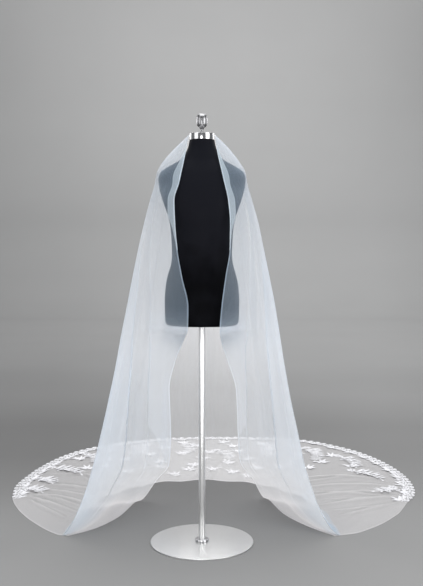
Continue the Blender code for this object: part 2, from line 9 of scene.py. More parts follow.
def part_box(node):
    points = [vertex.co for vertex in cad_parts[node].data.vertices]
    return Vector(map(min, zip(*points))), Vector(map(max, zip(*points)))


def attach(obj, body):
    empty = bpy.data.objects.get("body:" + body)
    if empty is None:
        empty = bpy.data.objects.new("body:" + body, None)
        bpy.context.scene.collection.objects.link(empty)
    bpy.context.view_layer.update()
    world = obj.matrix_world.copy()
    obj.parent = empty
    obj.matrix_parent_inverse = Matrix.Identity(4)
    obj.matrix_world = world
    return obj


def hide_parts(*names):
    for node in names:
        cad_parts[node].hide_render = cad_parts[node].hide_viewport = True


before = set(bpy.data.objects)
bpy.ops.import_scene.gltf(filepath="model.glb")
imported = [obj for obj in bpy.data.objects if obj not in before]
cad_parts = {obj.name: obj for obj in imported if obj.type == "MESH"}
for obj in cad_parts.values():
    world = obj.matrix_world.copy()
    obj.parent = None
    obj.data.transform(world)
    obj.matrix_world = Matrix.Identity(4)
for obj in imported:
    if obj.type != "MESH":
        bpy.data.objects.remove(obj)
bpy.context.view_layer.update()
TAU = 2.0 * math.pi

# The photo's view: sizes in pixels of the 423 by 586 frame, places in metres
PHOTO_HEIGHT = 586.0
FOCAL_PIXELS = 870.0
HORIZON_ROW = 239.0
CAMERA_PLACE = (0.0393, -3.600, 1.253)
SENSOR_SIZE = 36.0

# Heights on the stand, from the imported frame. WALL is how high the flat train lies over the floor, and the
# others say how far the cloth keeps off the form and how far below it that still holds
FORM_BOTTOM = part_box("dress_form_torso")[0][2]
NECK_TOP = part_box("dress_form_torso")[1][2]
WALL = 0.0012
CLEAR_OF_FORM = 0.0035
SKIRT_BELOW_FORM = 0.10
LOWEST_FULL_SECTION = 0.912

# The form's sections, in metres. The neck flares out 3 to 4 mm more than the solid's
FORM_COLUMNS = ("height", "half_width", "front", "back")
FORM_SECTIONS = (
    (0.897, 0.136, 0.092, 0.092),
    (0.901, 0.146, 0.101, 0.101),
    (0.912, 0.151, 0.105, 0.105),
    (1.000, 0.154, 0.108, 0.108),
    (1.059, 0.150, 0.104, 0.100),
    (1.104, 0.141, 0.098, 0.089),
    (1.150, 0.128, 0.091, 0.080),
    (1.187, 0.124, 0.088, 0.077),
    (1.224, 0.125, 0.091, 0.078),
    (1.290, 0.129, 0.103, 0.085),
    (1.340, 0.138, 0.114, 0.092),
    (1.373, 0.149, 0.116, 0.097),
    (1.414, 0.163, 0.112, 0.102),
    (1.468, 0.177, 0.101, 0.102),
    (1.505, 0.180, 0.090, 0.097),
    (1.527, 0.172, 0.083, 0.092),
    (1.545, 0.150, 0.076, 0.086),
    (1.560, 0.124, 0.070, 0.080),
    (1.580, 0.090, 0.063, 0.072),
    (1.605, 0.070, 0.058, 0.062),
    (1.635, 0.057, 0.053, 0.054),
    (1.662, 0.0515, 0.0515, 0.0515),
)
FORM_SQUARENESS = 2.3
NECK_ROUND_FROM = 1.585
NECK_ROUND_OVER = 0.04
FORM_SIDES = 112
FORM_ROWS = 150

# Fall of the veil: the ridge is the outermost fold on each side, the edge is the free front edge
FALL_COLUMNS = (
    "height", "ridge_y", "back_y",
    "ridge_left", "edge_left_x", "edge_left_y", "edge_left_z",
    "ridge_right", "edge_right_x", "edge_right_y", "edge_right_z",
)
FALL_LEVELS = (
    (1.684, 0.000, 0.0531, -0.0531, -0.0517, -0.012, 1.684, 0.0531, 0.0517, -0.012, 1.684),
    (1.650, 0.000, 0.062, -0.090, -0.060, -0.032, 1.650, 0.090, 0.058, -0.032, 1.650),
    (1.610, 0.000, 0.077, -0.130, -0.066, -0.054, 1.610, 0.126, 0.063, -0.054, 1.610),
    (1.570, 0.000, 0.091, -0.163, -0.073, -0.072, 1.570, 0.156, 0.071, -0.072, 1.570),
    (1.530, 0.000, 0.103, -0.186, -0.081, -0.086, 1.530, 0.179, 0.080, -0.086, 1.530),
    (1.480, 0.000, 0.113, -0.196, -0.091, -0.100, 1.480, 0.188, 0.091, -0.100, 1.480),
    (1.410, 0.000, 0.125, -0.216, -0.110, -0.111, 1.410, 0.208, 0.106, -0.111, 1.410),
    (1.320, 0.000, 0.145, -0.239, -0.107, -0.112, 1.320, 0.233, 0.114, -0.112, 1.320),
    (1.220, 0.000, 0.180, -0.262, -0.099, -0.108, 1.220, 0.254, 0.113, -0.108, 1.220),
    (1.100, 0.005, 0.235, -0.287, -0.078, -0.114, 1.100, 0.279, 0.095, -0.114, 1.100),
    (0.980, 0.010, 0.297, -0.311, -0.053, -0.119, 0.980, 0.303, 0.079, -0.119, 0.980),
    (0.890, 0.014, 0.345, -0.329, -0.055, -0.118, 0.890, 0.318, 0.072, -0.118, 0.890),
    (0.845, 0.015, 0.370, -0.338, -0.072, -0.060, 0.845, 0.325, 0.077, -0.060, 0.845),
    (0.720, 0.021, 0.440, -0.361, -0.117, 0.108, 0.722, 0.345, 0.108, 0.090, 0.732),
    (0.580, 0.027, 0.520, -0.391, -0.147, 0.270, 0.575, 0.371, 0.147, 0.260, 0.582),
    (0.440, 0.036, 0.603, -0.423, -0.146, 0.395, 0.370, 0.402, 0.159, 0.395, 0.370),
    (0.310, 0.047, 0.686, -0.456, -0.158, 0.480, 0.200, 0.429, 0.170, 0.470, 0.220),
    (0.200, 0.057, 0.762, -0.489, -0.230, 0.560, 0.090, 0.464, 0.240, 0.560, 0.100),
    (0.120, 0.063, 0.825, -0.519, -0.310, 0.560, 0.000, 0.493, 0.302, 0.600, 0.000),
    (0.060, 0.068, 0.873, -0.547, -0.378, 0.320, 0.000, 0.525, 0.368, 0.360, 0.000),
    (0.020, 0.072, 0.903, -0.571, -0.476, 0.146, 0.000, 0.553, 0.470, 0.172, 0.000),
    (0.000, 0.076, 0.915, -0.586, -0.566, 0.070, 0.000, 0.582, 0.560, 0.066, 0.000),
)
BACK_SQUARENESS = 2.25

# The train's outline on the floor, in metres: the plain edge from each fold's foot to the lace, then the hem
LEFT_PLAIN_EDGE = (
    (-0.586, 0.076), (-0.617, 0.085), (-0.689, 0.163), (-0.801, 0.321), (-0.881, 0.475), (-0.924, 0.592),
)
RIGHT_PLAIN_EDGE = (
    (0.582, 0.076), (0.648, 0.095), (0.713, 0.146), (0.803, 0.238), (0.900, 0.375), (0.972, 0.529),
)
LACE_HEM = (
    (-0.924, 0.592), (-0.953, 0.795), (-0.937, 0.970), (-0.901, 1.170), (-0.830, 1.385), (-0.724, 1.566),
    (-0.560, 1.710), (-0.330, 1.830), (-0.027, 1.891), (0.310, 1.880), (0.591, 1.823), (0.763, 1.690),
    (0.912, 1.495), (1.010, 1.260), (1.060, 1.010), (1.061, 0.795), (1.030, 0.640), (0.972, 0.529),
)

# The sheet's fine grid
FRONT_CELLS = 64
FREE_EDGE_BAND = 0.012
HALF_BACK_CELLS = 110
FALL_CELLS = 170
TRAIN_CELLS = 90

# How dense the net looks, from 0 for one flat layer: the double bands, creases and free edges of the fronts,
# the painted light under the form, the back, the train with its crests and painted shade lines beside them,
# and where the fronts bunch at the floor
DOUBLE_SHARE = 0.45
CREASE_SHARE = 0.40
CREASE_HEIGHTS = (0.06, 1.30)
# Painted light under the form: extra cover on the fronts just below it, lightening the cloth where the form
# shades it; its strength, how fast it fades downwards and how far down it reaches
UNDER_FORM_PAINTED_LIGHT = 0.72
UNDER_FORM_FADE = 0.13
UNDER_FORM_DEPTH = 0.30
BACK_SHARE = 0.06
BACK_HIGH_SHARE = 0.50
BACK_SIDE_SHARE = 0.45
BACK_THIN_HEIGHT = 0.55
BACK_FULL_OVER = 0.32
TRAIN_SHARE = 0.12
TRAIN_EDGE_SHARE = 0.60
CREST_SHARE = 0.42
CREST_FULL = 0.009
PAINTED_SHADE_LINE_SHARE = 0.45
FLOOR_SHARE = 0.90
FLOOR_FOLD_HEIGHT = 0.13
FLOOR_BUNCH_HEIGHT = 0.25
# How much of LAID_TINT the cloth has: down the back, so many cells past each ridge, and at the touch-down
BACK_LAID = 0.6
BACK_LAID_FROM = 8
TOUCH_LAID = 0.5

# Gathers down the back and pleats down the fronts
GATHERS_PER_HALF = 5
FRONT_PLEATS = 2
GATHER_COLUMNS = ("height", "back_reach", "front_reach", "fine_reach")
GATHER_REACH = (
    (1.684, 0.0, 0.0, 0.0010), (1.620, 0.0, 0.0, 0.0022), (1.500, 0.001, 0.0, 0.0016),
    (1.350, 0.004, 0.001, 0.0014), (1.150, 0.008, 0.002, 0.0020), (0.900, 0.012, 0.006, 0.0026),
    (0.500, 0.017, 0.010, 0.0032), (0.200, 0.020, 0.007, 0.0032), (0.060, 0.018, 0.002, 0.0024),
    (0.000, 0.014, 0.0, 0.0010),
)

# Creases down the front layers: place across (0 at the free edge, 1 at the ridge) at each height
CREASE_COLUMNS = ("height", "left_inner", "left_outer", "right_inner", "right_outer")
CREASES = (
    (1.50, 0.66, 0.90, 0.58, 0.88), (1.25, 0.62, 0.88, 0.53, 0.86), (1.10, 0.60, 0.86, 0.50, 0.83),
    (0.91, 0.57, 0.84, 0.48, 0.79), (0.75, 0.45, 0.76, 0.34, 0.74), (0.58, 0.35, 0.70, 0.22, 0.69),
    (0.46, 0.34, 0.68, 0.18, 0.67), (0.29, 0.32, 0.66, 0.17, 0.64), (0.12, 0.30, 0.66, 0.16, 0.62),
    (0.00, 0.30, 0.70, 0.16, 0.66),
)
# Each crease: side, column, top, foot, how far it stands out, how far the cloth laps over, width in metres
LAPS = (
    ("left", "left_inner", 1.46, 0.30, 0.004, 0.020, 0.011),
    ("left", "left_outer", 1.30, 0.06, 0.005, 0.026, 0.012),
    ("right", "right_inner", 1.46, 0.34, 0.004, 0.020, 0.011),
    ("right", "right_outer", 1.30, 0.06, 0.005, 0.026, 0.012),
)
# Softer waves: side, top, foot, place at the top and foot, reach and width across
WAVES = (
    ("left", 0.72, 0.06, 0.12, 0.22, 0.007, 0.07),
    ("left", 1.20, 0.30, 0.74, 0.50, -0.006, 0.06),
    ("left", 0.95, 0.10, 0.93, 0.86, 0.005, 0.04),
    ("right", 0.80, 0.05, 0.34, 0.46, 0.008, 0.07),
    ("right", 1.36, 0.20, 0.68, 0.56, -0.006, 0.05),
    ("right", 0.95, 0.10, 0.93, 0.86, 0.005, 0.04),
)
# Where the cloth lies double: side, from and to across, foot at the inner and outer side of the band
DOUBLE_BANDS = (
    ("left", None, "left_inner", 0.27, 0.46, 0.98),
    ("left", "left_outer", None, 0.02, 0.02, 1.25),
    ("right", None, "right_inner", 0.40, 0.46, 0.98),
    ("right", "right_outer", None, 0.02, 0.02, 1.25),
)

# Wrinkles on the train: place across (0 left tip, 1 right tip), start and end from the fall to the hem,
# how far each wavers and slides across on its way out, its height and its width across
WRINKLES = (
    (0.060, 0.10, 0.80, 0.004, -0.030, 0.008, 0.0044), (0.100, 0.02, 0.86, 0.008, -0.070, 0.009, 0.0052),
    (0.128, 0.06, 0.62, 0.006, -0.060, 0.007, 0.0040), (0.150, 0.04, 0.80, 0.010, -0.110, 0.010, 0.0056),
    (0.185, 0.02, 0.70, 0.006, -0.100, 0.008, 0.0046), (0.225, 0.00, 0.82, 0.010, -0.140, 0.009, 0.0060),
    (0.265, 0.06, 0.55, -0.01, -0.060, 0.008, 0.0044), (0.300, 0.02, 0.84, 0.012, -0.160, 0.010, 0.0062),
    (0.330, 0.05, 0.75, -0.02, -0.050, 0.008, 0.0044), (0.375, 0.00, 0.45, 0.010, 0.000, 0.012, 0.0052),
    (0.420, 0.00, 0.70, -0.01, -0.020, 0.009, 0.0044), (0.470, 0.02, 0.50, 0.012, 0.000, 0.011, 0.0050),
    (0.525, 0.00, 0.65, -0.01, 0.010, 0.010, 0.0044), (0.580, 0.04, 0.50, 0.010, 0.000, 0.012, 0.0052),
    (0.630, 0.00, 0.75, 0.015, 0.030, 0.009, 0.0042), (0.668, 0.04, 0.86, -0.008, 0.210, 0.010, 0.0066),
    (0.705, 0.08, 0.60, 0.010, 0.090, 0.008, 0.0046), (0.738, 0.02, 0.90, -0.006, 0.180, 0.009, 0.0060),
    (0.770, 0.06, 0.70, 0.008, 0.160, 0.008, 0.0050), (0.800, 0.03, 0.85, -0.008, 0.140, 0.010, 0.0056),
    (0.832, 0.10, 0.55, 0.006, 0.080, 0.007, 0.0040), (0.858, 0.04, 0.86, -0.006, 0.095, 0.009, 0.0050),
    (0.895, 0.06, 0.70, 0.006, 0.060, 0.008, 0.0042), (0.925, 0.08, 0.75, -0.004, 0.040, 0.008, 0.0040),
)

# The free edges turned back over the chest: how wide the second layer is on each side
TURN_COLUMNS = ("height", "left", "right")
TURN_WIDTHS = (
    (1.640, 0.001, 0.001), (1.610, 0.006, 0.006), (1.570, 0.018, 0.016), (1.490, 0.031, 0.026),
    (1.410, 0.030, 0.031), (1.365, 0.029, 0.026), (1.320, 0.020, 0.017), (1.280, 0.011, 0.008),
    (1.240, 0.004, 0.003), (1.200, 0.001, 0.001),
)
TURN_HEIGHTS = (1.20, 1.64)
# Across it: share of its width from the fold, and how far it stands off the layer under it
TURN_PROFILE = (
    (-0.06, 0.0008), (0.0, 0.0016), (0.04, 0.0026), (0.15, 0.0032), (0.35, 0.0030), (0.6, 0.0027),
    (0.85, 0.0024), (0.96, 0.0022), (1.0, 0.0018),
)

# Lace: the border is measured inwards from its hem, in metres
BORDER_WIDTH = 0.052
BORDER_LAP = 0.004
BORDER_GROUND_HEIGHT = WALL + 0.0005
BORDER_WORK_HEIGHT = WALL + 0.0009
SCALLOPS = 80
SCALLOP_CELLS = 8
SCALLOP_DEPTH = 0.014
# At the tips the train reaches out to the hem, over this share of the hem's length
TIP_REACH = 0.035
TIP_INSET = 0.004
# Each spray: name, place, heading in degrees and length
SPRAYS = (
    ("left_front", -0.845, 0.735, -40.0, 0.13),
    ("left_low", -0.815, 0.895, -53.0, 0.15),
    ("left_middle", -0.748, 1.090, -39.0, 0.25),
    ("left_back", -0.650, 1.360, -67.0, 0.24),
    ("back_left", -0.400, 1.530, -75.0, 0.27),
    ("back_middle", -0.120, 1.610, -85.0, 0.27),
    ("back_inner", 0.100, 1.430, -76.0, 0.28),
    ("back_right", 0.350, 1.600, -95.0, 0.27),
    ("right_back", 0.610, 1.460, -88.0, 0.34),
    ("right_middle", 0.800, 1.290, -75.0, 0.25),
    ("right_low", 0.855, 1.010, -55.0, 0.24),
    ("right_front", 0.900, 0.740, -140.0, 0.14),
)
SPRAY_BEND = 0.12
SPRAY_WORK_HEIGHT = WALL + 0.0010
# Flowers on each spray: share along it, distance beside it, size, lift and petals
SPRAY_FLOWERS = (
    (0.04, 0.0, 0.050, 0.0, 6), (0.42, 0.0, 0.040, 0.0004, 5), (0.22, 0.034, 0.034, 0.0012, 5),
    (0.30, -0.036, 0.030, 0.0012, 5), (0.62, 0.030, 0.026, 0.0012, 5),
)
# Single flowers between and before the sprays, in arcs: how many, and their distances from the centre
LOOSE_CENTRE = (0.03, 0.90)
LOOSE_ARCS = ((27, (0.86, 0.62, 0.74)), (14, (0.22, 0.48, 0.35)))
RANDOM = np.random.default_rng(7)

# The net's pitch in metres and its tints, each a pair that the cloth drifts between: lit from the front, lit
# from behind and at the turned edges. LAID_TINT is the one tone of cloth that lies on the floor
NET_PITCH = 0.0016
FRONT_TINTS = ((0.64, 0.79, 0.97), (0.58, 0.78, 1.0))
THROUGH_TINTS = ((1.0, 0.94, 0.89), (0.99, 0.95, 0.90))
FOLD_TINTS = ((0.76, 0.88, 1.0), (0.71, 0.88, 1.0))
LAID_TINT = (0.955, 0.94, 0.95)

# Seamless paper: a floor, a bend and a wall, in metres
STAGE_FRONT = -7.0
STAGE_REACH = 8.0
STAGE_TOP = 9.0
STAGE_WALL_ROWS = 18
BEND_START = 10.0
BEND_RADIUS = 1.6
BEND_ROWS = 24
PAINTED_LIGHT_START = -0.4
# Painted light and shade on the paper, standing in for the lamps' falloff over floor, bend and wall: distance
# along it from the start point above, painted light factor on the left and on the right
STAGE_PAINTED_LIGHT = (
    (0.04, 1.05, 1.09), (0.36, 0.97, 1.02), (0.75, 0.89, 0.97), (1.23, 0.71, 0.85), (1.85, 0.57, 0.77),
    (2.66, 0.55, 0.78), (3.79, 0.78, 1.08), (5.45, 0.95, 1.27), (8.15, 0.96, 1.21), (11.14, 1.07, 1.33),
    (11.88, 1.17, 1.43), (12.46, 1.34, 1.61), (12.98, 1.54, 1.83), (13.51, 1.54, 1.77), (14.03, 1.47, 1.65),
    (14.56, 1.41, 1.53), (15.08, 1.31, 1.42), (15.61, 1.25, 1.35), (16.13, 1.21, 1.29), (16.65, 1.19, 1.27),
)
# Where those painted light values stand across it, as shares of the distance from the camera
STAGE_LEFT = -0.174
STAGE_RIGHT = 0.194

# Soft lights: name, place, point that it faces, width and height, power in watts
LIGHTS = (
    ("key_left", (-3.2, -2.4, 1.7), (0.0, 0.1, 1.0), (2.4, 3.2), 46.0),
    ("key_right", (3.2, -2.4, 1.7), (0.0, 0.1, 1.0), (2.4, 3.2), 90.0),
    ("strip_front", (-0.35, -4.4, 0.8), (0.0, 0.0, 0.7), (1.1, 2.6), 55.0),
    ("low_fill", (0.0, -2.2, 0.15), (0.0, 0.1, 0.8), (2.2, 0.6), 12.0),
    ("top", (0.0, -0.3, 3.9), (0.0, 0.0, 0.0), (3.0, 2.2), 78.0),
    ("back_left", (-2.6, 2.3, 2.2), (0.0, 0.1, 0.7), (1.6, 1.6), 34.0),
    ("back_right", (2.6, 2.3, 2.2), (0.0, 0.1, 0.7), (1.6, 1.6), 34.0),
    ("wall", (0.0, 8.0, 8.6), (0.0, 11.6, 2.5), (10.0, 1.5), 560.0),
    ("floor_far", (0.0, 8.2, 5.6), (0.0, 8.4, 0.0), (6.0, 3.0), 150.0),
    ("floor_behind", (0.0, 4.4, 5.6), (0.0, 4.8, 0.0), (5.0, 2.0), 95.0),
)


def unit(values):
    return np.clip(values, 0.0, 1.0)


def bell(values):
    return np.exp(-(values**2))


def linked(name, data):
    """A new object of the scene."""
    made = bpy.data.objects.new(name, data)
    bpy.context.scene.collection.objects.link(made)
    return made


def table(rows, columns, name):
    return np.array([row[columns.index(name)] for row in rows], float)


def smooth_read(rows, columns, name, at):
    """Read a column at given heights along a curve through its rows, with no overshoot."""
    keys = table(rows, columns, "height")
    values = table(rows, columns, name)
    order = np.argsort(keys)
    keys = keys[order]
    values = values[order]
    steps = np.diff(keys)
    slopes = np.diff(values) / steps
    tangents = np.zeros(len(keys))
    tangents[0] = slopes[0]
    tangents[-1] = slopes[-1]
    for i in range(1, len(keys) - 1):
        if slopes[i - 1] * slopes[i] > 0.0:
            left = 2.0 * steps[i] + steps[i - 1]
            right = steps[i] + 2.0 * steps[i - 1]
            tangents[i] = (left + right) / (left / slopes[i - 1] + right / slopes[i])
    at = np.clip(np.asarray(at, float), keys[0], keys[-1])
    cell = np.clip(np.searchsorted(keys, at, side="right") - 1, 0, len(keys) - 2)
    t = (at - keys[cell]) / steps[cell]
    first = (1.0 + 2.0 * t) * values[cell] + t * steps[cell] * tangents[cell]
    second = (3.0 - 2.0 * t) * values[cell + 1] + (t - 1.0) * steps[cell] * tangents[cell + 1]
    return (1.0 - t) ** 2 * first + t * t * second


def curve_points(points, fractions):
    """Points at the given fractions of the length of a smooth curve through the given points."""
    points = np.array(points, float)
    ends = np.vstack([2 * points[0] - points[1], points, 2 * points[-1] - points[-2]])
    dense = []
    for i in range(1, len(ends) - 2):
        before, here, after, beyond = ends[i - 1:i + 3]
        for t in np.linspace(0.0, 1.0, 16, endpoint=False):
            straight = 2.0 * here + (after - before) * t
            bend = (2.0 * before - 5.0 * here + 4.0 * after - beyond) * t**2
            twist = (3.0 * here - before - 3.0 * after + beyond) * t**3
            dense.append(0.5 * (straight + bend + twist))
    dense.append(points[-1])
    dense = np.array(dense)
    lengths = np.concatenate([[0.0], np.cumsum(np.linalg.norm(np.diff(dense, axis=0), axis=1))])
    at = np.asarray(fractions, float) * lengths[-1]
    return np.stack([np.interp(at, lengths, dense[:, i]) for i in range(dense.shape[1])], axis=-1)


def hem_line(fractions, inset):
    """Points along the lace hem, moved in by the inset, and the inward direction at each."""
    fractions = np.asarray(fractions, float)
    step = 1e-3
    points = curve_points(LACE_HEM, fractions)
    ahead = curve_points(LACE_HEM, np.minimum(fractions + step, 1.0))
    along = ahead - curve_points(LACE_HEM, np.maximum(fractions - step, 0.0))
    along /= np.linalg.norm(along, axis=1)[:, None]
    inward = np.stack([along[:, 1], -along[:, 0]], axis=1)
    inset = np.broadcast_to(np.asarray(inset, float), (len(points),))
    return points + inward * inset[:, None], inward


def outside_form(points, margin):
    """Move points straight out from the pole's axis until they clear the dress form."""
    points = points.copy()
    height = points[:, 2]
    below = unit((height - (FORM_BOTTOM - SKIRT_BELOW_FORM)) / SKIRT_BELOW_FORM)
    limit = below * below * (3.0 - 2.0 * below)
    near = (limit > 0.0) & (height < NECK_TOP)
    at = np.maximum(height, LOWEST_FULL_SECTION)
    half_width, front, back = (
        smooth_read(FORM_SECTIONS, FORM_COLUMNS, name, at) + margin for name in FORM_COLUMNS[1:]
    )
    reach = np.where(points[:, 1] < 0.0, front, back)
    ratio = (np.abs(points[:, 0]) / half_width) ** FORM_SQUARENESS
    ratio += (np.abs(points[:, 1]) / reach) ** FORM_SQUARENESS
    ratio = np.maximum(ratio ** (1.0 / FORM_SQUARENESS), 1e-6)
    push = near & (ratio < limit)
    points[push, :2] *= (limit / ratio)[push, None]
    return points


def gather_wave(t, side):
    """Uneven gathers across half the back: t runs from the ridge to the centre back."""
    shift = 0.35 if side == "left" else 0.15
    wander = 0.06 * np.sin(TAU * (1.3 * t + shift)) * np.sin(np.pi * t)
    size = 0.75 + 0.25 * np.sin(TAU * (2.2 * t + shift))
    return size * np.cos(TAU * GATHERS_PER_HALF * (t + wander * 0.5))


def fine_wave(t, side, height):
    """Smaller folds between the gathers, drifting a little as they fall."""
    shift = 0.2 if side == "left" else 0.7
    drift = 0.10 * math.sin(2.1 * height + shift * 6.0)
    first = np.sin(TAU * (11.0 * t + drift + shift) + 1.3 * np.sin(TAU * 2.0 * t))
    swing = 1.7 * np.sin(TAU * 3.1 * t + 1.0)
    second = np.sin(TAU * (21.0 * t - drift * 2.0 + shift) + swing)
    return 0.65 * first + 0.35 * second * (0.5 + 0.5 * math.sin(5.0 * height))


def crease_at(name, height):
    return float(smooth_read(CREASES, CREASE_COLUMNS, name, height))


def crease_push(side, across, height, span):
    """How far the listed creases move the front layer outwards and along itself here."""
    out = np.zeros_like(across)
    lap = np.zeros_like(across)
    for owner, name, top, foot, reach, over, width in LAPS:
        if owner != side or not foot < height < top:
            continue
        fade = math.sin(math.pi * (top - height) / (top - foot)) ** 0.4
        x = (across - crease_at(name, height)) * span / width
        out += reach * fade * (bell(x - 0.6) - 0.5 * bell(x + 0.9))
        lap -= over * fade * x * bell(x)
    for owner, top, foot, at_top, at_foot, reach, width in WAVES:
        if owner != side or not foot < height < top:
            continue
        down = (top - height) / (top - foot)
        middle = at_top + (at_foot - at_top) * down**0.85
        out += reach * math.sin(math.pi * down) ** 0.6 * bell((across - middle) / width)
    return out, lap


def doubled(side, across, height):
    """Share by which the cloth lies double here, with sharp sides at the creases."""
    total = np.zeros_like(across)
    for owner, inner, outer, foot_inner, foot_outer, top in DOUBLE_BANDS:
        if owner != side or height > top:
            continue
        low = 0.0 if inner is None else crease_at(inner, height)
        high = 1.0 if outer is None else crease_at(outer, height)
        share = unit((across - low) / (high - low))
        foot = foot_inner + (foot_outer - foot_inner) * share
        fade = unit((height - foot) / 0.02) * min(1.0, (top - height) / 0.12)
        total = np.maximum(total, fade * ((across >= low) & (across <= high)))
    return total


def across_front():
    """Places across a front layer, with a narrow band at the free edge."""
    rest = np.linspace(0.0, 1.0, FRONT_CELLS)
    return np.concatenate([[0.0], FREE_EDGE_BAND + (1.0 - FREE_EDGE_BAND) * rest])[:-1]


def front_half(side, ridge, edge, height, reach):
    """One front layer's row, from the free edge to the ridge."""
    span = ridge - edge
    length = np.linalg.norm(span)
    outward = np.array([span[1], -span[0], 0.0]) * (-1.0 if side == "left" else 1.0)
    outward /= np.linalg.norm(outward) + 1e-9
    t = across_front()
    arch = np.sin(np.pi * t)
    bow = 0.10 * length * arch * unit((height - 0.9) / 0.4)
    pleat = reach["front_reach"] * np.sin(TAU * FRONT_PLEATS * t) * arch
    fine = 0.16 * reach["fine_reach"] * fine_wave(0.5 * t, side, height) * arch**0.5
    out, lap = crease_push(side, t, height, length)
    return edge + span * (t + lap / length)[:, None] + outward * (bow + pleat + fine + out)[:, None]


def back_half(side, ridge, back_y, height, reach):
    """Half of the back's row, from the ridge to the centre back."""
    t = np.linspace(0.0, 1.0, HALF_BACK_CELLS + 1)
    angle = 0.5 * np.pi * t
    x = abs(ridge[0]) * np.cos(angle) ** (2.0 / BACK_SQUARENESS)
    y = ridge[1] + (back_y - ridge[1]) * np.sin(angle) ** (2.0 / BACK_SQUARENESS)
    fine = fine_wave(t, side, height) * np.cos(0.5 * np.pi * t**6)
    nudge = reach["back_reach"] * gather_wave(t, side) + reach["fine_reach"] * fine
    nudge = np.minimum(1.0, 4.0 * t) * nudge
    x = (x + nudge * np.cos(angle)) * (-1.0 if side == "left" else 1.0)
    return np.stack([x, y + nudge * np.sin(angle), np.full_like(t, height)], axis=1)


def fall_row(height):
    """One row of the sheet, from the left front edge round the back to the right front edge."""
    read = {name: float(smooth_read(FALL_LEVELS, FALL_COLUMNS, name, height)) for name in FALL_COLUMNS}
    reach = {name: float(smooth_read(GATHER_REACH, GATHER_COLUMNS, name, height)) for name in GATHER_COLUMNS}
    halves = []
    for side in ("left", "right"):
        ridge = np.array([read["ridge_" + side], read["ridge_y"], height])
        edge = np.array([read["edge_" + side + axis] for axis in ("_x", "_y", "_z")])
        front = front_half(side, ridge, edge, height, reach)
        halves.append(np.concatenate([front, back_half(side, ridge, read["back_y"], height, reach)]))
    row = np.concatenate([halves[0], halves[1][-2::-1]])
    return outside_form(row, CLEAR_OF_FORM)


def fall_heights():
    """Row heights, closer together at the shoulders and near the floor."""
    t = np.linspace(0.0, 1.0, FALL_CELLS + 1)
    return FALL_LEVELS[0][0] * (1.0 - t) - 0.06 * np.sin(TAU * t)


def train_wrinkles(across, s):
    """Height of the wrinkles, and a mask of painted shade lines beside them, a share s of the way out to the
    hem.
    """
    total = np.zeros_like(across)
    painted_shade_line = np.zeros_like(across)
    for place, start, end, drift, slide, height, width in WRINKLES:
        if not start <= s <= end:
            continue
        along = (s - start) / (end - start)
        middle = place + drift * math.sin(3.0 * along) + slide * along
        fade = math.sin(math.pi * min(1.0, 0.12 + 0.88 * along)) ** 0.7
        total = np.maximum(total, height * fade * bell((across - middle) / width))
        # Painted shade: a line beside each wrinkle where the cloth is made thinner, so the grey floor shows
        # through dark like a shadow
        beside = middle + math.copysign(1.7 * width, 0.5 - place)
        painted_shade_line = np.maximum(painted_shade_line, fade * bell((across - beside) / (0.8 * width)))
    ripple = 0.5 + 0.5 * np.sin(TAU * (33.0 * across + 0.8 * math.sin(5.0 * s)))
    patch = 0.5 + 0.5 * np.sin(TAU * (4.0 * across + 1.3 * s + 0.2))
    return total + 0.0022 * ripple * patch * math.sin(math.pi * s) ** 0.5, painted_shade_line


def train_rows(first_row):
    """Rows of the train on the floor, from the touch-down line out to the lace border."""
    across = np.linspace(0.0, 1.0, len(first_row))
    from_tip = unit(np.minimum(across, 1.0 - across) / TIP_REACH)
    inset = TIP_INSET + (BORDER_WIDTH - BORDER_LAP - TIP_INSET) * from_tip**2 * (3.0 - 2.0 * from_tip)
    outer = hem_line(across, inset)[0]
    rows = []
    for step in range(1, TRAIN_CELLS + 1):
        s = step / TRAIN_CELLS
        flat = first_row[:, :2] * (1 - s) + outer * s
        for edge, end, pull in (
            (LEFT_PLAIN_EDGE, first_row[0], (1 - across) ** 6),
            (RIGHT_PLAIN_EDGE, first_row[-1], across**6),
        ):
            bow = curve_points(edge, [s])[0] - (end[:2] * (1 - s) + np.array(edge[-1]) * s)
            flat = flat + bow * pull[:, None]
        height = WALL + train_wrinkles(across, s)[0]
        rows.append(np.concatenate([flat, height[:, None]], axis=1))
    return rows


def mesh_from(name, points, faces, uv=None):
    """Object from points and faces, smooth shaded, with a map in metres if one is given."""
    mesh = bpy.data.meshes.new(name)
    mesh.from_pydata([tuple(point) for point in points], [], [tuple(face) for face in faces])
    mesh.shade_smooth()
    if uv is not None:
        layer = mesh.uv_layers.new(name="metres")
        corners = np.empty(len(mesh.loops), dtype=np.int32)
        mesh.loops.foreach_get("vertex_index", corners)
        layer.data.foreach_set("uv", np.asarray(uv, np.float32)[corners].ravel())
    return linked(name, mesh)


def grid_faces(index):
    """Quads over a grid of point numbers."""
    corners = (index[:-1, :-1], index[1:, :-1], index[1:, 1:], index[:-1, 1:])
    return np.stack([corner.ravel() for corner in corners], axis=1)


def ring_faces(rows, sides):
    """Quads over rows of points that each close in a ring."""
    ring = np.arange(rows * sides).reshape(rows, sides)
    return grid_faces(np.hstack([ring, ring[:, :1]]))


def sheet_from(name, grid, uv):
    """Object over a whole grid of points."""
    index = np.arange(grid.shape[0] * grid.shape[1]).reshape(grid.shape[:2])
    return mesh_from(name, grid.reshape(-1, 3), grid_faces(index), uv.reshape(-1, 2))


def grid_map(grid):
    """Map coordinates in metres along a grid's columns and rows."""
    down = np.zeros(grid.shape[:2])
    down[1:] = np.cumsum(np.linalg.norm(np.diff(grid, axis=0), axis=2), axis=0)
    across = np.zeros(grid.shape[:2])
    across[:, 1:] = np.cumsum(np.linalg.norm(np.diff(grid, axis=1), axis=2), axis=1)
    across -= across[:, [grid.shape[1] // 2]]
    return np.stack([across, down], axis=2)


def add_attribute(made, name, values):
    layer = made.data.attributes.new(name, "FLOAT", "POINT")
    layer.data.foreach_set("value", np.asarray(values, np.float32))


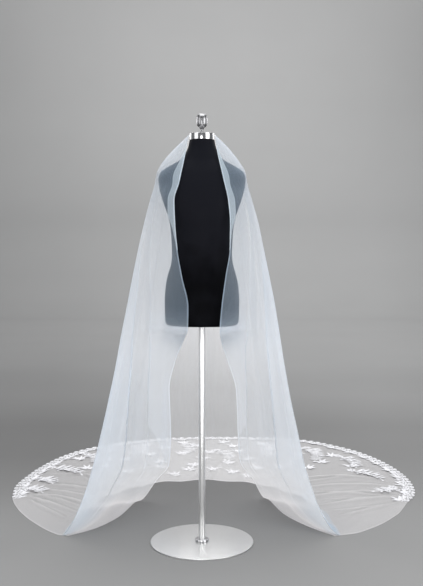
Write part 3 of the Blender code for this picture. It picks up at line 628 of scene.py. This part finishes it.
def front_look(side, across, height):
    """How dense and how laid a front layer's row looks, from the free edge to the ridge."""
    dense = DOUBLE_SHARE * doubled(side, across, height)
    # Painted light: just below the form the fronts are made denser, so they read bright where the form shades
    # them
    below = FORM_BOTTOM + 0.004 - height
    if 0.0 < below < UNDER_FORM_DEPTH:
        under = UNDER_FORM_PAINTED_LIGHT * math.exp(-((below / UNDER_FORM_FADE) ** 2))
        dense = np.maximum(dense, under * unit(1.4 - 2.4 * across))
    if CREASE_HEIGHTS[0] < height < CREASE_HEIGHTS[1]:
        for name in CREASE_COLUMNS[1:]:
            if name.startswith(side):
                dense[np.abs(across - crease_at(name, height)).argmin()] = CREASE_SHARE
    dense[:2] = 1.0
    bunch = unit((FLOOR_BUNCH_HEIGHT - height) / (FLOOR_BUNCH_HEIGHT - FLOOR_FOLD_HEIGHT))
    dense[2:] = np.maximum(dense[2:], FLOOR_SHARE * bunch)
    return dense, unit(2.2 - 2.6 * across) * bunch


def back_look(count, height):
    """How dense the back's row looks, from ridge to ridge."""
    round_back = np.abs(np.linspace(-1.0, 1.0, count))
    high = BACK_HIGH_SHARE * unit((height - BACK_THIN_HEIGHT) / BACK_FULL_OVER)
    return BACK_SHARE + high + (BACK_SIDE_SHARE - 0.6 * high) * round_back**3


def train_look(count, s):
    """How dense a row of the train looks, a share s of the way out to the hem."""
    crest, painted_shade_line = train_wrinkles(np.linspace(0.0, 1.0, count), s)
    # Painted shade: the cloth is thinned beside each crest, so a dark line stands in for its shadow
    return TRAIN_SHARE + CREST_SHARE * unit(crest / CREST_FULL) ** 2 - PAINTED_SHADE_LINE_SHARE * painted_shade_line


def make_veil():
    """The whole sheet of tulle: fall and train in one surface, with its looks point by point."""
    heights = fall_heights()
    fall = np.array([fall_row(height) for height in heights])
    fall[..., 2] = np.maximum(fall[..., 2], WALL)
    columns = fall.shape[1]
    back = slice(FRONT_CELLS, columns - FRONT_CELLS)
    touch = fall[-1, back]
    train = np.array([touch] + train_rows(touch))
    fall_map = grid_map(fall)
    train_map = grid_map(train)
    train_map[..., 1] += fall_map[-1, back, 1]
    points = np.concatenate([fall.reshape(-1, 3), train[1:].reshape(-1, 3)])
    count = fall.shape[0] * columns
    fall_index = np.arange(count).reshape(-1, columns)
    rest = np.arange(count, len(points)).reshape(-1, train.shape[1])
    train_index = np.concatenate([fall_index[[-1], back], rest])
    uv = np.concatenate([fall_map.reshape(-1, 2), train_map[1:].reshape(-1, 2)])
    faces = np.concatenate([grid_faces(fall_index), grid_faces(train_index)])
    veil = mesh_from("veil_sheet", points, faces, uv)
    dense = np.zeros(len(points))
    laid = np.zeros(len(points))
    across = across_front()
    for row, height in zip(fall_index, heights):
        for side, line in (("left", row[:FRONT_CELLS]), ("right", row[::-1][:FRONT_CELLS])):
            dense[line], laid[line] = front_look(side, across, height)
        dense[row[back]] = back_look(train.shape[1], height)
        laid[row[FRONT_CELLS + BACK_LAID_FROM:columns - FRONT_CELLS - BACK_LAID_FROM]] = BACK_LAID
    for step in range(1, TRAIN_CELLS + 1):
        dense[train_index[step]] = train_look(train.shape[1], step / TRAIN_CELLS)
    dense[train_index[:, [0, -1]]] = TRAIN_EDGE_SHARE
    laid[train_index[0]] = TOUCH_LAID
    laid[count:] = 1.0
    add_attribute(veil, "dense", dense)
    add_attribute(veil, "laid", laid)
    return veil, fall


def sheet_normals(grid):
    """Unit normal at each point of a grid, out of the sheet."""
    normals = np.cross(np.gradient(grid, axis=1), np.gradient(grid, axis=0))
    return normals / np.maximum(np.linalg.norm(normals, axis=2, keepdims=True), 1e-12)


def make_turned_edge(side, fall, normals):
    """The front edge folded back on itself over the chest, as a second layer with a soft fold."""
    shares, lifts = np.array(TURN_PROFILE).T
    way = 1 if side == "left" else -1
    grid = []
    for i, height in enumerate(fall_heights()):
        if not TURN_HEIGHTS[0] <= height <= TURN_HEIGHTS[1]:
            continue
        width = float(smooth_read(TURN_WIDTHS, TURN_COLUMNS, side, height))
        width *= 1.0 + 0.10 * math.sin(38.0 * height) + 0.05 * math.sin(71.0 * height + 1.0)
        row = fall[i, ::way][:FRONT_CELLS]
        facing = normals[i, ::way][:FRONT_CELLS]
        along = np.concatenate([[0.0], np.cumsum(np.linalg.norm(np.diff(row, axis=0), axis=1))])
        reach = np.maximum(shares, 0.0) * width
        points = np.stack([np.interp(reach, along, row[:, k]) for k in range(3)], axis=1)
        out = np.stack([np.interp(reach, along, facing[:, k]) for k in range(3)], axis=1)
        beyond = (row[0] - row[2]) / np.linalg.norm(row[0] - row[2])
        grid.append(points + out * lifts[:, None] + beyond * (np.minimum(shares, 0.0) * -0.02)[:, None])
    grid = np.array(grid)
    made = sheet_from("veil_turned_fold_" + side, grid, grid_map(grid))
    dense = np.zeros(grid.shape[:2])
    dense[:, :3] = 1.0
    dense[:, -2:] = 0.5
    add_attribute(made, "dense", dense.ravel())
    return made


class Motifs:
    """Collects small thin lace shapes into one mesh."""

    def __init__(self):
        self.points = []
        self.faces = []

    def add(self, points, faces):
        start = len(self.points)
        self.points.extend(points)
        self.faces.extend([tuple(start + i for i in face) for face in faces])

    def leaf(self, x, y, heading, length, width, base, rise=0.0016, curl=0.0):
        """A pointed leaf from its stem end, domed with a sunken vein, its tip curled up."""
        shares = (0.0, 0.18, 0.42, 0.68, 0.88, 1.0)
        halves = (0.08, 0.62, 1.0, 0.74, 0.36, 0.02)
        c = math.cos(heading)
        s = math.sin(heading)
        points = []
        for share, half in zip(shares, halves):
            along = share * length
            for side, lift in ((-1.0, 0.0), (-0.5, 1.0), (0.0, 0.55), (0.5, 1.0), (1.0, 0.0)):
                aside = side * half * 0.5 * width
                height = base + rise * lift * (0.4 + 0.6 * half) + curl * share**2
                points.append((x + along * c - aside * s, y + along * s + aside * c, height))
        self.add(points, [(a, a + 5, a + 6, a + 1) for a in range(5 * len(shares) - 5) if a % 5 < 4])

    def flower(self, x, y, size, turn, base, petals=5):
        """Round petals about a raised eye."""
        for k in range(petals):
            heading = turn + TAU * k / petals
            px = x + 0.16 * size * math.cos(heading)
            py = y + 0.16 * size * math.sin(heading)
            self.leaf(px, py, heading, 0.40 * size, 0.34 * size, base)
        self.dot(x, y, 0.13 * size, base + 0.0006)

    def dot(self, x, y, radius, base, sides=8):
        """A low cone, for a bead or a flower's eye."""
        turns = [TAU * k / sides for k in range(sides)]
        ring = [(x + radius * math.cos(turn), y + radius * math.sin(turn), base) for turn in turns]
        faces = [(k, (k + 1) % sides, sides) for k in range(sides)]
        self.add(ring + [(x, y, base + 0.45 * radius)], faces)

    def stem(self, path, width, base, rise=0.0009):
        """A narrow corded line along a path of points on the floor."""
        path = np.asarray(path, float)
        along = np.gradient(path, axis=0)
        along /= np.linalg.norm(along, axis=1)[:, None]
        aside = np.stack([-along[:, 1], along[:, 0]], axis=1) * 0.5 * width
        points = []
        for place, off in zip(path, aside):
            points += [(*(place - off), base), (*place, base + rise), (*(place + off), base)]
        self.add(points, [(a, a + 1, a + 4, a + 3) for a in range(3 * len(path) - 3) if a % 3 < 2])

    def build(self, name, under=None):
        """The mesh of all shapes, lifted onto the cloth under them if that is given."""
        if under is not None:
            lifted = []
            for x, y, z in self.points:
                hit = under.ray_cast(Vector((x, y, 0.06)), Vector((0.0, 0.0, -1.0)))[0]
                lifted.append((x, y, z + (max(0.0, hit.z - WALL) if hit else 0.0)))
            self.points = lifted
        uv = np.array([(point[0], point[1]) for point in self.points])
        return mesh_from(name, self.points, self.faces, uv)


def make_border_ground():
    """The scalloped net under the border's embroidery."""
    cells = SCALLOPS * SCALLOP_CELLS
    fractions = np.linspace(0.0, 1.0, cells + 1)
    phase = np.arange(cells + 1) / SCALLOP_CELLS
    scallop = SCALLOP_DEPTH * (1.0 - np.abs(np.sin(np.pi * phase)))
    scallop += 0.0018 * (0.5 + 0.5 * np.cos(8.0 * np.pi * phase))
    inner = BORDER_WIDTH + BORDER_LAP
    rows = []
    for share in np.linspace(0.0, 1.0, 6):
        flat = hem_line(fractions, inner + (scallop - inner) * share)[0]
        rows.append(np.concatenate([flat, np.full((cells + 1, 1), BORDER_GROUND_HEIGHT)], axis=1))
    grid = np.array(rows)
    return sheet_from("lace_border_ground", grid, grid[..., :2])


def hem_point(fraction, inset):
    return hem_line([fraction], inset)[0][0]


def make_border_motifs():
    """Leaves, flowers and corded scallops worked along the border."""
    work = Motifs()
    base = BORDER_WORK_HEIGHT
    for k in range(SCALLOPS):
        middle = (k + 0.5) / SCALLOPS
        centre, inward = hem_line([middle], 0.026)
        heading = math.atan2(inward[0][1], inward[0][0])
        jitter = RANDOM.uniform(-1.0, 1.0, 8)
        work.flower(*centre[0], 0.034 + 0.007 * jitter[0], heading + 0.6 * jitter[1], base + 0.001)
        outer = hem_point(middle, 0.012)
        for spread, length in ((-1.25, 0.019), (-0.65, 0.017), (0.0, 0.015), (0.65, 0.017), (1.25, 0.019)):
            length *= (1.0 + 0.10 * jitter[2]) * 0.72
            work.leaf(*outer, heading + math.pi + spread, length, 0.0085, base, 0.0016, 0.003)
        root = hem_point(middle, 0.040)
        for spread, swing, length, width, curl in (
            (0.5, jitter[3], 0.030 + 0.012 * abs(jitter[4]), 0.013, 0.005),
            (-0.7, jitter[5], 0.026 + 0.010 * abs(jitter[6]), 0.012, 0.004),
        ):
            work.leaf(*root, heading + spread + 0.3 * swing, length, width, base, 0.0018, curl)
        if k % 2 == 0:
            work.leaf(*root, heading + 1.5, 0.024, 0.010, base)
            work.dot(*hem_point(middle, 0.062), 0.0028, base)
        if k % 3 == 1:
            length = 0.050 + 0.012 * jitter[3]
            for spread in (-0.9, 0.1, 1.0):
                work.leaf(*root, heading + spread + 0.3 * jitter[1], length, 0.018, base, 0.002, 0.007)
        side = hem_point((k + 0.02) / SCALLOPS, 0.022)
        work.leaf(*side, heading + 0.25 * jitter[7], 0.026, 0.010, base)
        work.leaf(*side, heading + math.pi, 0.013, 0.008, base)
    for k in range(SCALLOPS):
        shares = np.linspace(k, k + 1, SCALLOP_CELLS + 1)
        inset = 0.0022 + SCALLOP_DEPTH * (1.0 - np.abs(np.sin(np.pi * shares)))
        work.stem(hem_line(shares / SCALLOPS, inset)[0], 0.0032, base)
    along = np.linspace(0.0, 1.0, SCALLOPS * SCALLOP_CELLS + 1)
    vine = 0.034 + 0.009 * np.sin(np.pi * SCALLOPS * along)
    work.stem(hem_line(along, vine)[0], 0.0028, base)
    return work.build("lace_border_work")


def spray_frame(x, y, heading, length, t):
    """Point and heading on a spray's bent stem, t from 0 at the outer end to 1 at the tip."""
    turn = math.radians(heading)
    along = (t - 0.5) * length
    bow = SPRAY_BEND * length * (1.0 - 4.0 * (t - 0.5) ** 2)
    slope = -8.0 * SPRAY_BEND * (t - 0.5)
    px = x + along * math.cos(turn) - bow * math.sin(turn)
    py = y + along * math.sin(turn) + bow * math.cos(turn)
    return px, py, turn + math.atan(slope)


def make_sprays(under):
    """Sprays sewn on the train, each a bent stem with paired leaves and flowers, and loose flowers."""
    work = Motifs()
    base = SPRAY_WORK_HEIGHT
    for _, x, y, heading, length in SPRAYS:
        stem = [spray_frame(x, y, heading, length, t)[:2] for t in np.linspace(0.0, 1.0, 14)]
        work.stem(stem, 0.004, base)
        pairs = max(4, round(length / 0.034))
        for k in range(pairs):
            t = 0.16 + 0.80 * k / pairs
            px, py, way = spray_frame(x, y, heading, length, t)
            size = 0.058 * (1.0 - 0.35 * t) * (0.85 + 0.3 * RANDOM.random())
            for sign in (-1.0, 1.0):
                spread = sign * (0.95 + 0.25 * RANDOM.random())
                work.leaf(px, py, way + spread, size, size * 0.34, base, 0.0022, 0.008)
                if k % 2 == 0:
                    work.leaf(px, py, way + spread * 0.45, size * 0.7, size * 0.22, base, 0.0022, 0.004)
        work.leaf(*spray_frame(x, y, heading, length, 1.0), 0.020, 0.010, base)
        for t, aside, size, lift, petals in SPRAY_FLOWERS:
            px, py, way = spray_frame(x, y, heading, length, t)
            px -= aside * math.sin(way)
            py += aside * math.cos(way)
            work.flower(px, py, size, way, base + lift, petals)
    for count, reaches in LOOSE_ARCS:
        for k in range(count):
            turn = math.pi * (0.10 + 0.80 * (k + 0.5) / count)
            far = reaches[k % 3] + 0.03 * RANDOM.uniform(-1.0, 1.0)
            px = LOOSE_CENTRE[0] + far * math.cos(turn)
            py = LOOSE_CENTRE[1] + far * math.sin(turn)
            way = turn + RANDOM.uniform(-0.5, 0.5)
            work.flower(px, py, 0.056 + 0.010 * RANDOM.random(), way, base + 0.0008)
            for spread in (-1.3, -0.6, 0.5, 1.2, 2.9):
                work.leaf(px, py, way + spread, 0.050, 0.015, base, 0.0022, 0.006)
    return work.build("lace_sprays", under)


def lathe(name, profile, sides=96):
    """A turned piece from a profile of radius and height, top to bottom, closed on the axis."""
    turns = [TAU * k / sides for k in range(sides)]
    ring = [(math.cos(turn), math.sin(turn)) for turn in turns]
    points = [(radius * x, radius * y, height) for radius, height in profile for x, y in ring]
    faces = ring_faces(len(profile), sides).tolist()
    top = len(points)
    end = top - sides
    points += [(0.0, 0.0, profile[0][1]), (0.0, 0.0, profile[-1][1])]
    for k in range(sides):
        after = (k + 1) % sides
        faces += [(top, k, after), (top + 1, end + after, end + k)]
    made = mesh_from(name, points, faces)
    made.data.set_sharp_from_angle(angle=math.radians(35.0))
    return made


def rounded(radius, top, foot, round_top, round_foot, steps=5):
    """Profile of a plain cylinder with rounded rims, top to bottom."""
    angles = np.linspace(0.0, 0.5 * math.pi, steps + 1)
    bends = [(1.0 - math.sin(angle), 1.0 - math.cos(angle)) for angle in angles]
    upper = [(radius - round_top * first, top - round_top * last) for first, last in bends]
    lower = [(radius - round_foot * last, foot + round_foot * first) for first, last in bends]
    return upper + lower


def make_torso():
    """The dress form's body: the solid's sections read as one smooth surface."""
    t = np.linspace(0.0, 1.0, FORM_ROWS + 1)
    heights = FORM_BOTTOM + (NECK_TOP - FORM_BOTTOM) * (t - 0.035 * np.sin(TAU * t))
    angle = np.linspace(0.0, TAU, FORM_SIDES, endpoint=False)
    rows = []
    for height in heights:
        half_width, front, back = (
            float(smooth_read(FORM_SECTIONS, FORM_COLUMNS, name, height)) for name in FORM_COLUMNS[1:]
        )
        blend = unit((height - NECK_ROUND_FROM) / NECK_ROUND_OVER)
        power = FORM_SQUARENESS + (2.0 - FORM_SQUARENESS) * blend
        cos = np.cos(angle)
        sin = np.sin(angle)
        x = half_width * np.sign(cos) * np.abs(cos) ** (2.0 / power)
        y = np.where(sin > 0.0, back, front) * np.sign(sin) * np.abs(sin) ** (2.0 / power)
        rows.append(np.stack([x, y, np.full_like(x, height)], axis=1))
    points = np.concatenate(rows)
    faces = ring_faces(len(rows), FORM_SIDES)[:, [0, 3, 2, 1]].tolist()
    faces.append(range(FORM_SIDES - 1, -1, -1))
    faces.append(range(len(points) - FORM_SIDES, len(points)))
    made = mesh_from("dress_form_body", points, faces)
    made.data.set_sharp_from_angle(angle=math.radians(60.0))
    return made


class Graph:
    """A material's nodes, each added with its values and links together."""

    def __init__(self, name):
        self.material = bpy.data.materials.new(name)
        self.material.use_nodes = True
        self.nodes = self.material.node_tree.nodes
        self.links = self.material.node_tree.links
        self.shader = self.nodes["Principled BSDF"]

    def fill(self, node, inputs):
        """Set a node's inputs by name or number, each to a value or from another node's output."""
        for name, value in inputs.items():
            if isinstance(value, bpy.types.NodeSocket):
                self.links.new(value, node.inputs[name])
            else:
                node.inputs[name].default_value = value
        return node

    def add(self, kind, inputs=None):
        return self.fill(self.nodes.new("ShaderNode" + kind), inputs or {})

    def metres(self):
        node = self.nodes.new("ShaderNodeUVMap")
        node.uv_map = "metres"
        return node.outputs[0]

    def place(self):
        return self.add("TexCoord").outputs["Object"]

    def attribute(self, name):
        node = self.nodes.new("ShaderNodeAttribute")
        node.attribute_name = name
        return node.outputs["Fac"]

    def noise(self, source, scale, detail):
        return self.add("TexNoise", {"Vector": source, "Scale": scale, "Detail": detail}).outputs["Fac"]

    def bands(self, source, scale, distortion=0.0, axis="X"):
        node = self.add("TexWave", {"Vector": source, "Scale": scale, "Distortion": distortion})
        node.bands_direction = axis
        return node.outputs["Fac"]

    def math(self, operation, *values, clamp=False):
        node = self.nodes.new("ShaderNodeMath")
        node.operation = operation
        node.use_clamp = clamp
        return self.fill(node, dict(enumerate(values))).outputs[0]

    def tint(self, share, first, second):
        """Colour between two, each three numbers or a socket, by a share from a socket."""
        node = self.nodes.new("ShaderNodeMix")
        node.data_type = "RGBA"
        first, second = ((*value, 1.0) if isinstance(value, tuple) else value for value in (first, second))
        return self.fill(node, {"Factor": share, "A": first, "B": second}).outputs["Result"]

    def surface(self, inputs):
        self.fill(self.shader, inputs)

    def bump(self, height, strength, distance):
        node = self.add("Bump", {"Height": height, "Strength": strength, "Distance": distance})
        self.surface({"Normal": node.outputs["Normal"]})


def net_cover(graph, mapped):
    """Thread cover of a fine net: three sets of bands, crossing at 60 degrees over the map in metres."""
    cover = None
    for turn in (-30.0, 30.0, 90.0):
        turned = graph.add("Mapping", {"Vector": mapped, "Rotation": (0.0, 0.0, math.radians(turn))})
        band = graph.bands(turned.outputs[0], TAU / (20.0 * NET_PITCH))
        band = graph.math("POWER", band, 3.0)
        cover = graph.math("MAXIMUM", cover, band) if cover else band
    return cover


def tulle_material(name, hole, thread, edge, graze, front_tints, through_tints):
    """Sheer net: holes let the view through, threads glow with light from both sides.

    Its cover goes from hole to thread over the net, with edge more where the cloth is dense, which also
    carries painted light below the form and painted shade lines on the train, and graze more where it is seen
    from the side.
    """
    graph = Graph(name)
    mapped = graph.metres()
    cover = net_cover(graph, mapped)
    share = graph.math("MULTIPLY_ADD", cover, thread - hole, hole)
    cloud = graph.math("MULTIPLY_ADD", graph.noise(mapped, 3.0, 4.0), 0.24, 0.88)
    share = graph.math("MULTIPLY", share, cloud)
    share = graph.math("ADD", share, graph.math("MULTIPLY", graph.attribute("dense"), edge))
    facing = graph.add("LayerWeight", {"Blend": 0.35}).outputs["Facing"]
    share = graph.math("ADD", share, graph.math("MULTIPLY", facing, graze), clamp=True)
    drift = graph.noise(mapped, 1.6, 2.0)
    laid = graph.attribute("laid")
    front = graph.tint(laid, graph.tint(drift, *front_tints), LAID_TINT)
    behind = graph.tint(laid, graph.tint(drift, *through_tints), LAID_TINT)
    graph.surface({
        "Base Color": front, "Roughness": 0.8, "Specular IOR Level": 0.15,
        "Sheen Weight": 0.08, "Sheen Roughness": 0.5,
    })
    graph.bump(cover, 0.25, 0.0004)
    through = graph.add("BsdfTranslucent", {"Color": behind})
    cloth = graph.add("MixShader", {"Fac": 0.55, 1: graph.shader.outputs[0], 2: through.outputs[0]})
    clear = graph.add("BsdfTransparent")
    mix = graph.add("MixShader", {"Fac": share, 1: clear.outputs[0], 2: cloth.outputs[0]})
    graph.fill(graph.nodes["Material Output"], {"Surface": mix.outputs[0]})
    return graph.material


def lace_material():
    """White embroidery: satin stitches, a little greyer between them."""
    graph = Graph("lace_stitches")
    stitches = graph.bands(graph.metres(), 320.0, 3.0)
    colour = graph.tint(stitches, (0.60, 0.60, 0.64), (0.90, 0.90, 0.92))
    graph.surface({"Base Color": colour, "Roughness": 0.6, "Sheen Weight": 0.3})
    graph.bump(stitches, 0.5, 0.0006)
    return graph.material


def cover_material():
    """Black stretch cover: fine knit, faintly uneven, with painted light: its colour turns lighter from the
    waist up over the chest and neck, where light from above would catch it.
    """
    graph = Graph("form_cover_knit_painted_light")
    place = graph.place()
    knit = graph.bands(place, 260.0, 1.5, "Z")
    cloud = graph.noise(place, 14.0, 4.0)
    # Painted light: the colour turns lighter from the waist up, standing in for light from above on the chest
    # and neck; the noise adds a real faint unevenness
    height = graph.add("SeparateXYZ", {0: place}).outputs["Z"]
    rise = graph.add("MapRange", {
        "Value": height, "From Min": 1.10, "From Max": 1.32, "To Min": -0.4, "To Max": 0.8,
    }).outputs[0]
    share = graph.math("ADD", rise, cloud, clamp=True)
    graph.surface({
        "Base Color": graph.tint(share, (0.0008, 0.0009, 0.0016), (0.0075, 0.0080, 0.0112)),
        "Roughness": graph.math("MULTIPLY_ADD", cloud, 0.14, 0.42),
        "Specular IOR Level": 0.03, "Sheen Weight": 0.004,
    })
    graph.bump(knit, 0.12, 0.0004)
    return graph.material


def metal(graph, colour, pattern, rough_from, rough_span):
    """Bare metal whose roughness follows a pattern."""
    rough = graph.math("MULTIPLY_ADD", pattern, rough_span, rough_from)
    graph.surface({"Base Color": (*colour, 1.0), "Metallic": 1.0, "Roughness": rough})
    return graph.material


def chrome_material(name, colour, rough_from, rough_span):
    """Chrome with a faint cloudiness."""
    graph = Graph(name)
    return metal(graph, colour, graph.noise(graph.place(), 60.0, 3.0), rough_from, rough_span)


def steel_material():
    """Steel brushed round and round: fine rings with uneven roughness."""
    graph = Graph("round_brushed_steel")
    wave = graph.add("TexWave", {"Vector": graph.place(), "Scale": 180.0, "Distortion": 2.5, "Detail": 3.0})
    wave.wave_type = "RINGS"
    wave.rings_direction = "Z"
    rings = wave.outputs["Fac"]
    graph.bump(rings, 0.10, 0.0003)
    return metal(graph, (0.62, 0.62, 0.62), rings, 0.26, 0.10)


def stage_material():
    """Matt grey paper, its colour scaled by painted light and shade from the mesh."""
    graph = Graph("studio_paper_painted_light")
    cloud = graph.noise(graph.place(), 1.2, 3.0)
    shade = graph.nodes.new("ShaderNodeVectorMath")
    shade.operation = "SCALE"
    grey = graph.tint(cloud, (0.232, 0.232, 0.232), (0.244, 0.244, 0.244))
    graph.fill(shade, {0: grey, "Scale": graph.attribute("painted_light")})
    graph.surface({"Base Color": shade.outputs[0], "Roughness": 0.9, "Specular IOR Level": 0.1})
    return graph.material


def dress(piece, material, slot, *nodes):
    """Give a piece its material and hide the CAD nodes that it stands for; slot is not used."""
    piece.data.materials.clear()
    piece.data.materials.append(material)
    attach(piece, "root")
    if nodes:
        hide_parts(*nodes)


def add_cloth():
    veil, fall = make_veil()
    normals = sheet_normals(fall)
    left = make_turned_edge("left", fall, normals)
    right = make_turned_edge("right", fall, normals)
    plain = (LAID_TINT, LAID_TINT)
    tulle = tulle_material("veil_tulle", 0.14, 0.38, 0.42, 0.42, FRONT_TINTS, THROUGH_TINTS)
    fold = tulle_material("veil_tulle_fold", 0.42, 0.74, 0.30, 0.24, FOLD_TINTS, THROUGH_TINTS)
    ground_net = tulle_material("lace_net", 0.14, 0.44, 0.0, 0.16, plain, plain)
    stitches = lace_material()
    dress(
        veil, tulle, "tulle",
        "veil_front_left", "veil_side_left", "veil_back", "veil_side_right", "veil_front_right",
        "train_left", "train_back", "train_right",
    )
    dress(left, fold, "tulle", "veil_turned_edge_left")
    dress(right, fold, "tulle", "veil_turned_edge_right")
    ground = make_border_ground()
    work = make_border_motifs()
    under = BVHTree.FromPolygons(
        [vertex.co.copy() for vertex in veil.data.vertices],
        [tuple(face.vertices) for face in veil.data.polygons],
    )
    sprays = make_sprays(under)
    dress(
        ground, ground_net, "lace",
        "lace_border_left", "lace_border_back_left", "lace_border_back_right", "lace_border_right",
    )
    dress(work, stitches, "lace")
    dress(sprays, stitches, "lace", *("lace_spray_" + row[0] for row in SPRAYS))


def add_stand():
    chrome = chrome_material("polished_chrome", (0.50, 0.50, 0.51), 0.10, 0.06)
    satin = chrome_material("satin_chrome", (0.76, 0.76, 0.76), 0.30, 0.08)
    soft = chrome_material("finial_chrome", (0.30, 0.30, 0.31), 0.26, 0.08)
    # Each plain cylinder: name, CAD node, rounding at its top and foot, sides, material, slot
    plain_pieces = (
        ("base_plate", "base_disc", 0.0018, 0.0006, 160, steel_material(), "base_steel"),
        ("pole_foot_collar", "pole_collar", 0.003, 0.0005, 96, chrome, "chrome"),
        ("pole_tube", "pole", 0.0005, 0.0005, 96, satin, "chrome"),
        ("neck_cap_chrome", "neck_cap", 0.0015, 0.001, 96, chrome, "chrome"),
    )
    for name, node, round_top, round_foot, sides, material, slot in plain_pieces:
        low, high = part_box(node)
        profile = rounded(high[0], high[2], low[2], round_top, round_foot)
        dress(lathe(name, profile, sides), material, slot, node)
    low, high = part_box("finial_stem")
    radius, top, foot = high[0], high[2], low[2]
    middle = 0.5 * (top + foot)
    dress(lathe("finial_neck", (
        (0.86 * radius, top), (0.90 * radius, top - 0.002), (0.62 * radius, middle + 0.005),
        (0.58 * radius, middle), (0.64 * radius, middle - 0.005), (0.95 * radius, foot + 0.003),
        (radius, foot),
    )), soft, "chrome", "finial_stem")
    low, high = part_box("finial")
    radius, top, foot = high[0], high[2], low[2]
    dress(lathe("finial_knob", (
        (0.20 * radius, top), (0.45 * radius, top - 0.0008), (0.64 * radius, top - 0.003),
        (0.80 * radius, top - 0.007), (0.91 * radius, top - 0.012), (0.98 * radius, top - 0.018),
        (radius, top - 0.024), (radius, foot + 0.020), (0.97 * radius, foot + 0.014),
        (0.88 * radius, foot + 0.008), (0.72 * radius, foot + 0.003), (0.50 * radius, foot),
    )), soft, "chrome", "finial")
    dress(make_torso(), cover_material(), "form_cover", "dress_form_torso")


def add_stage():
    """Seamless paper: a flat floor that sweeps up far behind the train, with painted light and shade from its
    table along it.
    """
    path = [(STAGE_FRONT, 0.0), (PAINTED_LIGHT_START, 0.0)] + [(0.2 * k, 0.0) for k in range(1, 51)]
    for k in range(1, BEND_ROWS + 1):
        angle = 0.5 * math.pi * k / BEND_ROWS
        path.append((BEND_START + BEND_RADIUS * math.sin(angle), BEND_RADIUS * (1.0 - math.cos(angle))))
    for k in range(1, STAGE_WALL_ROWS + 1):
        path.append((BEND_START + BEND_RADIUS, BEND_RADIUS + (STAGE_TOP - BEND_RADIUS) * k / STAGE_WALL_ROWS))
    lengths = np.concatenate([[0.0], np.cumsum(np.linalg.norm(np.diff(path, axis=0), axis=1))])
    distance, left_painted_light, right_painted_light = np.array(STAGE_PAINTED_LIGHT).T
    painted_lights = []
    points = []
    for (y, z), length in zip(path, lengths - lengths[1]):
        away = max(0.5, y - CAMERA_PLACE[1])
        points += [(x, y, z) for x in (-STAGE_REACH, STAGE_LEFT * away, STAGE_RIGHT * away, STAGE_REACH)]
        # Painted light and shade for this row of the paper, on the left and on the right
        left = np.interp(length, distance, left_painted_light)
        right = np.interp(length, distance, right_painted_light)
        painted_lights += [left, left, right, right]
    index = np.arange(len(points)).reshape(len(path), 4)
    sweep = mesh_from("studio_sweep", points, grid_faces(index)[:, ::-1])
    add_attribute(sweep, "painted_light", painted_lights)
    sweep.data.materials.append(stage_material())


def add_lights():
    for name, place, target, size, power in LIGHTS:
        data = bpy.data.lights.new(name, "AREA")
        data.shape = "RECTANGLE"
        data.size, data.size_y = size
        data.energy = power
        lamp = linked(name, data)
        lamp.location = place
        lamp.visible_camera = False
        aim = Vector(target) - Vector(place)
        lamp.rotation_euler = aim.to_track_quat("-Z", "Y").to_euler()
    world = bpy.data.worlds.new("soft_studio")
    world.use_nodes = True
    background = world.node_tree.nodes["Background"]
    background.inputs["Color"].default_value = (0.96, 0.98, 1.0, 1.0)
    background.inputs["Strength"].default_value = 0.30
    bpy.context.scene.world = world


def add_camera():
    data = bpy.data.cameras.new("photo_view")
    data.sensor_width = SENSOR_SIZE
    data.lens = FOCAL_PIXELS / PHOTO_HEIGHT * SENSOR_SIZE
    data.shift_y = (HORIZON_ROW - 0.5 * PHOTO_HEIGHT) / PHOTO_HEIGHT
    data.clip_start = 0.05
    camera = linked("photo_view", data)
    camera.location = CAMERA_PLACE
    camera.rotation_euler = (math.radians(90.0), 0.0, 0.0)
    bpy.context.scene.camera = camera


add_camera()
add_cloth()
add_stand()
add_stage()
add_lights()
bpy.context.scene.view_settings.view_transform = "Standard"
